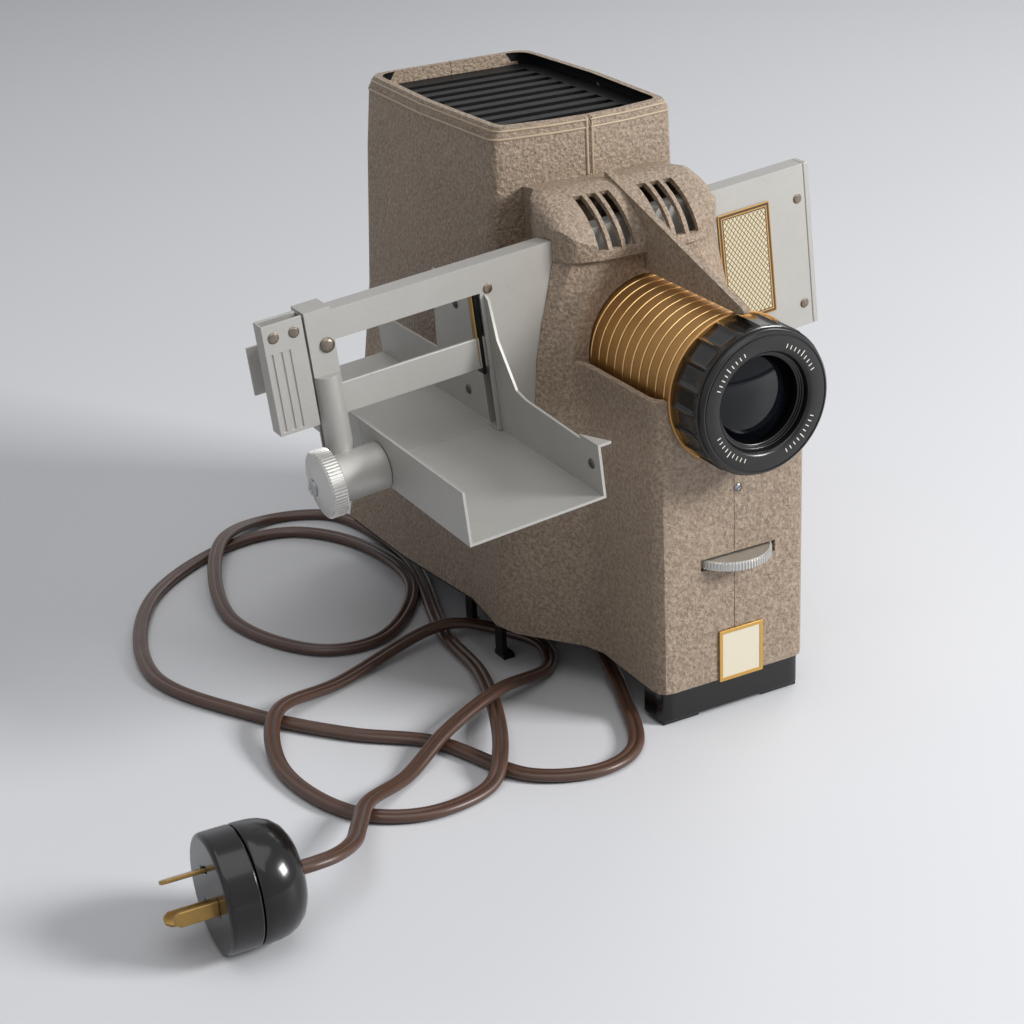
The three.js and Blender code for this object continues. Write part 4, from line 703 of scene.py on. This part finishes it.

# %% Black faces inside the well under the rim
# Faces that look inwards, from just under the top edge down to the grille, are painted black: partly painted
# shade of the deep well, partly the black liner the real one seems to have.
WELL_DEPTH, RIM_FLAT, FACING_IN = 30, 0.4, -0.35
well_middle = bench(0, 206, 0)
for node in ("housing_left", "housing_right"):
    mesh = castings[node].data
    mesh.materials.append(finishes["black_enamel"])
    for face in mesh.polygons:
        out = (face.center - well_middle) * Vector((1, 1, 0))
        in_well = rim_top - WELL_DEPTH * MM < face.center.z < rim_top - RIM_FLAT * MM
        if in_well and face.normal.dot(out.normalized()) < FACING_IN:
            face.material_index = 1
print("rim, seam and well done")

# %% [markdown]
# ## Lens
# The barrel is brass-coloured, with ten fine raised rings for a grip. The knob is a black moulding with
# twenty shallow scallops, and the face ring closes it with a chamfer and a fine line.

# %% Lens barrel and flange
LENS_SIDES = 144
FIRST_RING, RING_STEP, RINGS = 27.5, 6.5, 10
RING_PLACES = [FIRST_RING + RING_STEP * k for k in range(RINGS)]
RING_SHAPE = ((31.4, -0.75), (31.12, -0.62), (31.12, -0.42), (31.5, -0.34), (31.68, -0.15),
              (31.68, 0.15), (31.5, 0.34), (31.12, 0.42), (31.12, 0.62), (31.4, 0.75))
RING_HALF_WIDTH, FACING_ALONG = 0.38, 0.9


def on_lens(name, profile, material, node, **more):
    """A spun piece on the lens axis that stands for a node."""
    return finished(coated(spun(name, profile, at_lens, **more), material), node)


barrel_profile = [(29.6, 23.0), (31.1, 23.0), (31.4, 23.3)]
barrel_profile += [(r, place + along) for place in RING_PLACES for r, along in RING_SHAPE]
barrel_profile += [(31.4, 93.7), (31.1, 94.0), (29.6, 94.0)]
barrel = on_lens("ringed_barrel", barrel_profile, finishes["gold_anodised"], "lens_barrel",
                 sides=LENS_SIDES, smooth=24)
# The rings' faces get the brighter gold, which is partly polished metal and partly a painted highlight.
barrel.data.materials.append(polished_gold_with_painted_highlight)
for face in barrel.data.polygons:
    back_by = (face.center.y - lens_y) / MM
    on_ring = any(abs(back_by - place) < RING_HALF_WIDTH for place in RING_PLACES)
    if on_ring and face.normal.y ** 2 < FACING_ALONG:
        face.material_index = 1
flange_profile = [(29.6, 21.2), (32.5, 21.2), (32.9, 21.6), (32.9, 22.3), (32.5, 22.7), (29.6, 22.7)]
on_lens("gold_flange", flange_profile, finishes["gold_anodised"], "barrel_flange", sides=LENS_SIDES)
print("barrel faces:", len(barrel.data.polygons))

# %% Focusing knob
FLUTES, FLUTE_DEPTH, FLUTED_OVER = 20, 1.35, 31
FADE_START, FADE_LENGTH = 3.2, 2.4


def scallop(radius, back_by, angle):
    """Wide hollows between narrow ribs, fading out towards the front rim."""
    across = abs((angle * FLUTES / (2 * math.pi)) % 1 - 0.5) * 2
    fade = min(1, max(0, (back_by - FADE_START) / FADE_LENGTH))
    return (1 - across ** 5) * FLUTE_DEPTH * fade if radius > FLUTED_OVER else 0


knob_profile = [(29.8, 2.9), (31.2, 2.9), (31.9, 3.3), (32.2, 4.0), (32.3, 4.8), (32.3, 6.4), (32.3, 8.5),
                (32.3, 12), (32.3, 16), (32.3, 20.3), (32.1, 20.9), (29.8, 20.9)]
knob = on_lens("scalloped_knob", knob_profile, finishes["black_gloss_plastic"], "focus_knob",
               sides=360, smooth=40, shrink=scallop)
print("knob faces:", len(knob.data.polygons))

# %% Face ring and retaining ring
face_profile = [(21.45, 2.6), (21.45, 1.1), (21.7, 0.75), (22.2, 0.3), (22.7, 0.05), (22.95, 0.0),
                (28.7, 0.0), (28.85, 0.05), (28.95, 0.32), (29.25, 0.32), (29.35, 0.05), (29.5, 0.0),
                (29.9, 0.05), (30.7, 0.75), (30.95, 1.2), (31.0, 2.6)]
on_lens("face_ring_with_line", face_profile, black_gloss("satin_black", rough=0.26), "face_ring",
        sides=LENS_SIDES)
retainer_profile = [(20.88, 3.2), (20.4, 3.2), (20.25, 3.3), (20.25, 3.9), (19.7, 3.95), (19.6, 4.05),
                    (19.6, 4.7), (19.1, 4.8), (18.95, 4.95), (18.95, 5.6), (20.88, 5.7)]
on_lens("stepped_retainer", retainer_profile, black_gloss("threaded_black", rough=0.24), "retaining_ring",
        sides=LENS_SIDES)

# %% Scale marks on the face ring
MARK_GROUPS, MARKS_PER_GROUP, MARK_SPREAD = 4, 9, 5.2
MARK_INNER, MARK_OUTER, MARK_EXTRA = 24.0, 25.8, 1.0
MARK_HALF_WIDTH, PAINT_THICK = 0.2, 0.05


def scale_marks():
    """Short painted strokes in groups, the middle one of each longer."""
    shape = bmesh.new()
    for group in range(MARK_GROUPS):
        for k in range(MARKS_PER_GROUP):
            from_middle = k - (MARKS_PER_GROUP - 1) / 2
            angle = 2 * math.pi * (group + 0.5) / MARK_GROUPS + math.radians(from_middle * MARK_SPREAD)
            reach = MARK_OUTER + (MARK_EXTRA if from_middle == 0 else 0)
            along = Vector((math.cos(angle), 0, math.sin(angle)))
            across = Vector((-along.z, 0, along.x)) * MARK_HALF_WIDTH
            corners = [along * r + across * side
                       for r, side in ((MARK_INNER, -1), (MARK_INNER, 1), (reach, 1), (reach, -1))]
            rings = [[shape.verts.new((corner + Vector((0, y, 0))) * MM) for corner in corners]
                     for y in (0, -PAINT_THICK)]
            bridge(shape, rings)
            close_ends(shape, rings)
    made = new_piece("scale_marks", shape, 20)
    made.data.transform(at_lens)
    return made


trim(scale_marks(), "face_ring", white_mark)

# %% Front glass
GLASS_RADIUS, GLASS_TOP, GLASS_RISE, GLASS_BACK, GLASS_STEPS = 20.85, 6.02, 4.4, 13.2, 14
dome = [(GLASS_RADIUS * k / GLASS_STEPS, GLASS_TOP + GLASS_RISE * (k / GLASS_STEPS) ** 2)
        for k in range(GLASS_STEPS + 1)]
glass_profile = dome + [(GLASS_RADIUS, GLASS_BACK), (0, GLASS_BACK)]
# The front glass is opaque and near black: painted shade for the dark inside of the lens.
on_lens("front_glass_with_painted_shade", glass_profile, dark_glass(), "front_lens")
print("rings, marks and glass done")

# %% [markdown]
# ## Slide changer
# It is folded from 1.2 mm aluminium and has been handled for decades: its edges are bright and its faces
# dull. Places on it are measured in its own frame, which leans a little to the left.

# %% Sheet pieces
def on_changer(*places):
    return [at_changer @ (Vector(place) * MM) for place in places]


sheet_edges = {"changer_frame": 0.45, "changer_end_strip": 0.4, "changer_post": 0.5, "tray_guide_front": 0.35,
               "tray_guide_rear": 0.35, "shuttle_bar": 0.4, "handle_plate": 0.35}
sheets = {node: dressed(node, edge, sharp=35, smooth=32) for node, edge in sheet_edges.items()}
for node, material, places in (
        ("changer_frame", worn_rivet, ((84.7, 99.5, -15.5), (84.7, 99.5, -65.9), (-74, 99.5, -11.9))),
        ("handle_plate", worn_rivet, ((-172.75, 96.5, -3.4), (-163.7, 96.5, -3.4))),
        ("tray_guide_rear", dark_steel, ((-76.6, 130, -26.5), (-76.6, 129, -67))),
        ("tray_guide_front", dark_steel, ((-76.6, 21.3, -65),))):
    recoat(sheets[node], material, on_changer(*places))
print("sheets:", ", ".join(sheets))

# %% Slide slot and rail edge in the window
def block(name, low, high, soft):
    """A box between two corners in the changer's frame, with eased edges."""
    shape = bmesh.new()
    bmesh.ops.create_cube(shape, size=1)
    for v in shape.verts:
        v.co = Vector((low[i] + (high[i] - low[i]) * (v.co[i] + 0.5) for i in range(3))) * MM
    bmesh.ops.bevel(shape, geom=shape.edges[:], offset=soft * MM, segments=2, affect="EDGES")
    made = new_piece(name, shape, 30)
    made.data.transform(at_changer)
    return made


# The black strip fills the slot where slides enter the gate: its black is painted shade of the slot. The
# brass strip is the slot's edge.
for name, low, high, soft, slot in (
        ("slide_slot_painted_shade", (-80.6, 101.4, -50), (-78.9, 107.4, -13.2), 0.25, "black_enamel"),
        ("slide_rail_edge", (-82.0, 101.6, -46), (-81.1, 104.2, -13.4), 0.2, "brass")):
    trim(block(name, low, high, soft), "changer_frame", finishes[slot])

# %% [markdown]
# ## Knurled parts
# A knurling tool presses a ring of small ribs into the rim. One rib is drawn and turned round the axis as
# often as the rim has room for it, and the disc under it is spun.

# %% Knurled discs
RIB_TOP_SHARE, RIB_FILL, RIB_BEVEL = 0.35, 0.8, 0.35


def rib(name, inner, outer, half_width, low, high):
    """One rib that points along x, from low to high along y, with a bevel at each end."""
    shape = bmesh.new()
    half_top = half_width * RIB_TOP_SHARE
    rings = []
    for y, out in ((low, outer - RIB_BEVEL), (low + RIB_BEVEL, outer), (high - RIB_BEVEL, outer),
                   (high, outer - RIB_BEVEL)):
        corners = ((inner, y, -half_width), (out, y, -half_top), (out, y, half_top), (inner, y, half_width))
        rings.append([shape.verts.new(Vector(corner) * MM) for corner in corners])
    bridge(shape, rings)
    close_ends(shape, rings)
    return new_piece(name, shape, 20)


def knurled(name, disc, inner, outer, low, high, count, place):
    """A disc and the ribs round it, as one mesh."""
    material = finishes["turned_aluminium"]
    half_width = math.pi * outer / count * RIB_FILL
    ribs = ringed(rib(name + "_ribs", inner, outer, half_width, low, high), count, material, place)
    return joined(name, coated(disc, material), ribs)


# %% Select knob
TO_THE_LEFT = turned(-math.pi / 2, "Z")
dial_place = at_changer @ moved(-159.6, 92, -69.9) @ TO_THE_LEFT
dial_profile = [(0, 0.0), (13.6, 0.0), (14.0, -0.4), (14.0, -6.2), (13.5, -6.9), (12.6, -7.1), (4.2, -9.55),
                (3.9, -9.6), (0, -9.6)]
dial = knurled("knurled_dial", spun("dial_disc", dial_profile, dial_place), inner=13.6, outer=14.7,
               low=-6.5, high=-0.2, count=60, place=dial_place)
finished(dial, "select_knob")
print("dial faces:", len(dial.data.polygons))

# %% Foot wheel
wheel_place = Matrix.Translation(bench(2, 31.9, 71.6)) @ turned(math.pi / 2, "X")
wheel_profile = [(3.4, 0.0), (18.3, 0.0), (18.8, 0.4), (18.8, 3.8), (18.3, 4.2), (3.4, 4.2)]
wheel = knurled("knurled_foot_wheel", spun("wheel_disc", wheel_profile, wheel_place), inner=18.3, outer=19.4,
                low=0.2, high=4.0, count=84, place=wheel_place)
finished(wheel, "elevation_wheel")
print("wheel faces:", len(wheel.data.polygons))

# %% [markdown]
# ## Screw heads
# The screws here have a domed head, and two of them a straight slot. The slot is cut by bending the profile
# of the head: points inside the slot's width are pressed down.

# %% Slotted heads
HEAD_SIDES, HEAD_RINGS, HEAD_EDGE = 64, 14, 0.3
SLOT_WALL_SHARE, SLOT_DEPTH_SHARE = 0.35, 0.72


def screw_head(name, radius, rise, place, slot=0.0, turn=0.0):
    """A domed head whose flat back lies on y = 0 and whose dome faces -y, with or without a slot."""
    shape = bmesh.new()
    rings = []
    for i in range(HEAD_RINGS + 1):
        share = i / HEAD_RINGS
        high = HEAD_EDGE + rise * max(0.0, 1 - share ** 4)
        ring = []
        for x, z in round_section(radius * share, HEAD_SIDES):
            away = abs(x * math.sin(turn) - z * math.cos(turn))
            sunk = min(1.0, max(0.0, (slot - away) / (slot * SLOT_WALL_SHARE))) if slot else 0.0
            ring.append(shape.verts.new(place @ (Vector((x, -high * (1 - sunk * SLOT_DEPTH_SHARE), z)) * MM)))
        rings.append(ring)
    foot = round_section(radius, HEAD_SIDES)
    rings.append([shape.verts.new(place @ (Vector((x, 0, z)) * MM)) for x, z in foot])
    bridge(shape, rings)
    shape.faces.new(rings[-1])
    return new_piece(name, shape, 30)


post_head = screw_head("post_screw_head", 3.2, 1.1, at_changer @ moved(-150, 98.0, -13.6))
knob_head = screw_head("knob_screw_head", 3.9, 1.4, at_changer @ moved(-169.3, 92, -69.9) @ TO_THE_LEFT,
                       slot=0.8, turn=2.2)
pin_head = screw_head("guide_screw_head", 1.7, 0.5, Matrix.Translation(bench(2, 23.6, 105.8)),
                      slot=0.35, turn=0.5)
for head, material, node in ((post_head, worn_rivet, "post_screw"),
                             (knob_head, finishes["steel"], "knob_screw"),
                             (pin_head, finishes["steel"], "guide_screw")):
    finished(coated(head, material), node)
print("screw heads done")

# %% [markdown]
# ## Black mouldings and pressings
# The grille in the rim, the foot, the pan with its legs and the small mouldings keep the solids' form with
# eased edges.

# %% Mouldings
dressed("top_grille", 0.25, smooth=30)
for node, edge in (("front_foot", 0.8), ("base_pan", 0.3), ("power_switch", 0.5), ("cord_gland", 0.5),
                   ("wheel_bracket", 0.2), ("switch_nut", 0.3), ("hood_clip", 0.4)):
    dressed(node, edge, smooth=40)
print("mouldings done")

# %% [markdown]
# ## Plug
# A round plug in glossy black phenolic: a domed cap, a base disc, and three flat brass blades with rounded
# tips. It lies where the lead ends and faces along it.

# %% Plug
end, before = route[-1], route[-2]
heading = math.atan2(end.y - before.y, end.x - before.x) - math.pi / 2
at_plug = Matrix.Translation(end) @ turned(heading, "Z")
cap_profile = [(0, 0.3), (4.6, 0.3), (5.4, 0.5), (6.0, 1.1), (7.2, 1.5), (11, 1.9), (15.2, 2.9), (18.6, 4.9),
               (21.2, 8.0), (22.7, 11.6), (23.3, 15.0), (23.5, 18.5), (23.5, 21.6), (23.1, 22.1), (0, 22.1)]
cap = spun("plug_dome", cap_profile, at_plug, sides=128, smooth=40)
finished(coated(cap, finishes["black_gloss_plastic"]), "plug_cap")
dressed("plug_base", 0.9, segments=3, smooth=40)
for k in (1, 2, 3):
    dressed(f"plug_blade_{k}", 0.35, smooth=40)
print("plug done")

# %% [markdown]
# ## Badges
# Two small plates carry a printed field: the panel plate a fine lattice inside a brown and gold border, the
# nose plate plain cream in a raised gold frame. Their patterns follow the plates' own UV map, which runs in
# millimetres from the lower left corner.

# %% Prints
def start_print(name, wide, high):
    """A finish for a plate, its two directions, and a test for what lies further in than a margin."""
    ink = Finish(name, Roughness=0.3)
    split = ink.node("ShaderNodeSeparateXYZ", {}, [ink.where("UV")]).socket.node
    x, y = (Wire(ink, split.outputs[k]) for k in (0, 1))
    past_edge = ((x - wide / 2).absolute() - wide / 2).larger((y - high / 2).absolute() - high / 2)
    return ink, x, y, lambda margin: past_edge < -margin


def lattice_print(wide, high):
    """A brown lattice on cream, inside a gold line, a brown border and a gold rim."""
    ink, x, y, inside = start_print("lattice_print", wide, high)
    slope, pitch, half_line = 0.72, 2.2, 0.1
    rising, falling = (((way / pitch).fraction() - 0.5).absolute() < half_line
                       for way in (x + y * slope, x - y * slope))
    cream, brown, gold = rgb(206, 196, 166), rgb(72, 50, 26), rgb(190, 148, 80)
    tint = ink.blend(rising.larger(falling), cream, rgb(92, 70, 40))
    tint = ink.blend(inside(2.6), brown, tint)
    tint = ink.blend(inside(1.6) - inside(2.1), tint, gold)
    tint = ink.blend(inside(0.5), gold, tint)
    ink.feed(Base_Color=tint, Roughness=0.28 + ink.noise(200, 3) * 0.2, Metallic=(1 - inside(0.5)) * 0.8)
    return ink.material


def framed_print(wide, high):
    """A plain cream field in a gold frame."""
    ink, _, _, inside = start_print("framed_print", wide, high)
    frame_mask = 1 - inside(1.7)
    tint = ink.blend(frame_mask, rgb(214, 206, 184), rgb(200, 158, 88))
    ink.feed(Base_Color=tint, Metallic=frame_mask * 0.9, Roughness=0.26 + ink.noise(160, 3) * 0.2)
    return ink.material


# %% Plates
PLATE_BEVEL, BACK_INSET, FRAME_SLOPE, LEAST_CORNER, CORNER_STEPS = 0.12, 0.25, 0.15, 0.15, 4


def plaque(name, width, height, thick, place, corner=0.8, frame_wide=0.0, field_drop=0.0):
    """A plate in x and z with rounded corners, facing -y; inside a frame its field lies lower."""
    shape = bmesh.new()
    uv = shape.loops.layers.uv.new("UVMap")

    def ring(inset, y):
        r = max(corner - inset, LEAST_CORNER)
        across, above = width / 2 - inset - r, height / 2 - inset - r
        middles = ((across, above), (-across, above), (-across, -above), (across, -above))
        corners = []
        for quarter, (cx, cz) in enumerate(middles):
            for k in range(CORNER_STEPS + 1):
                a = math.radians(90 * (quarter + k / CORNER_STEPS))
                corners.append(shape.verts.new(Vector((cx + r * math.cos(a), y, cz + r * math.sin(a))) * MM))
        return corners

    rings = [ring(BACK_INSET, 0), ring(0, -PLATE_BEVEL), ring(0, PLATE_BEVEL - thick),
             ring(PLATE_BEVEL, -thick)]
    if frame_wide:
        rings += [ring(frame_wide, -thick), ring(frame_wide + FRAME_SLOPE, field_drop - thick)]
    bridge(shape, rings)
    close_ends(shape, rings)
    for face in shape.faces:
        for loop in face.loops:
            spot = loop.vert.co / MM
            loop[uv].uv = (spot.x + width / 2, spot.z + height / 2)
    made = new_piece(name, shape, 30)
    made.data.transform(place)
    return made


PANEL_SIZE, NOSE_SIZE = (27.5, 52.6), (22.6, 24.6)
panel = plaque("lattice_plaque", *PANEL_SIZE, 0.4, at_changer @ moved(55.35, 99.7, -38.3))
finished(coated(panel, lattice_print(*PANEL_SIZE)), "panel_badge")
nose_plate = plaque("framed_plaque", *NOSE_SIZE, 0.8, Matrix.Translation(bench(3, 22.9, 27.9)), corner=0.5,
                    frame_wide=1.6, field_drop=0.3)
finished(coated(nose_plate, framed_print(*NOSE_SIZE)), "nose_badge")
print("badges done")
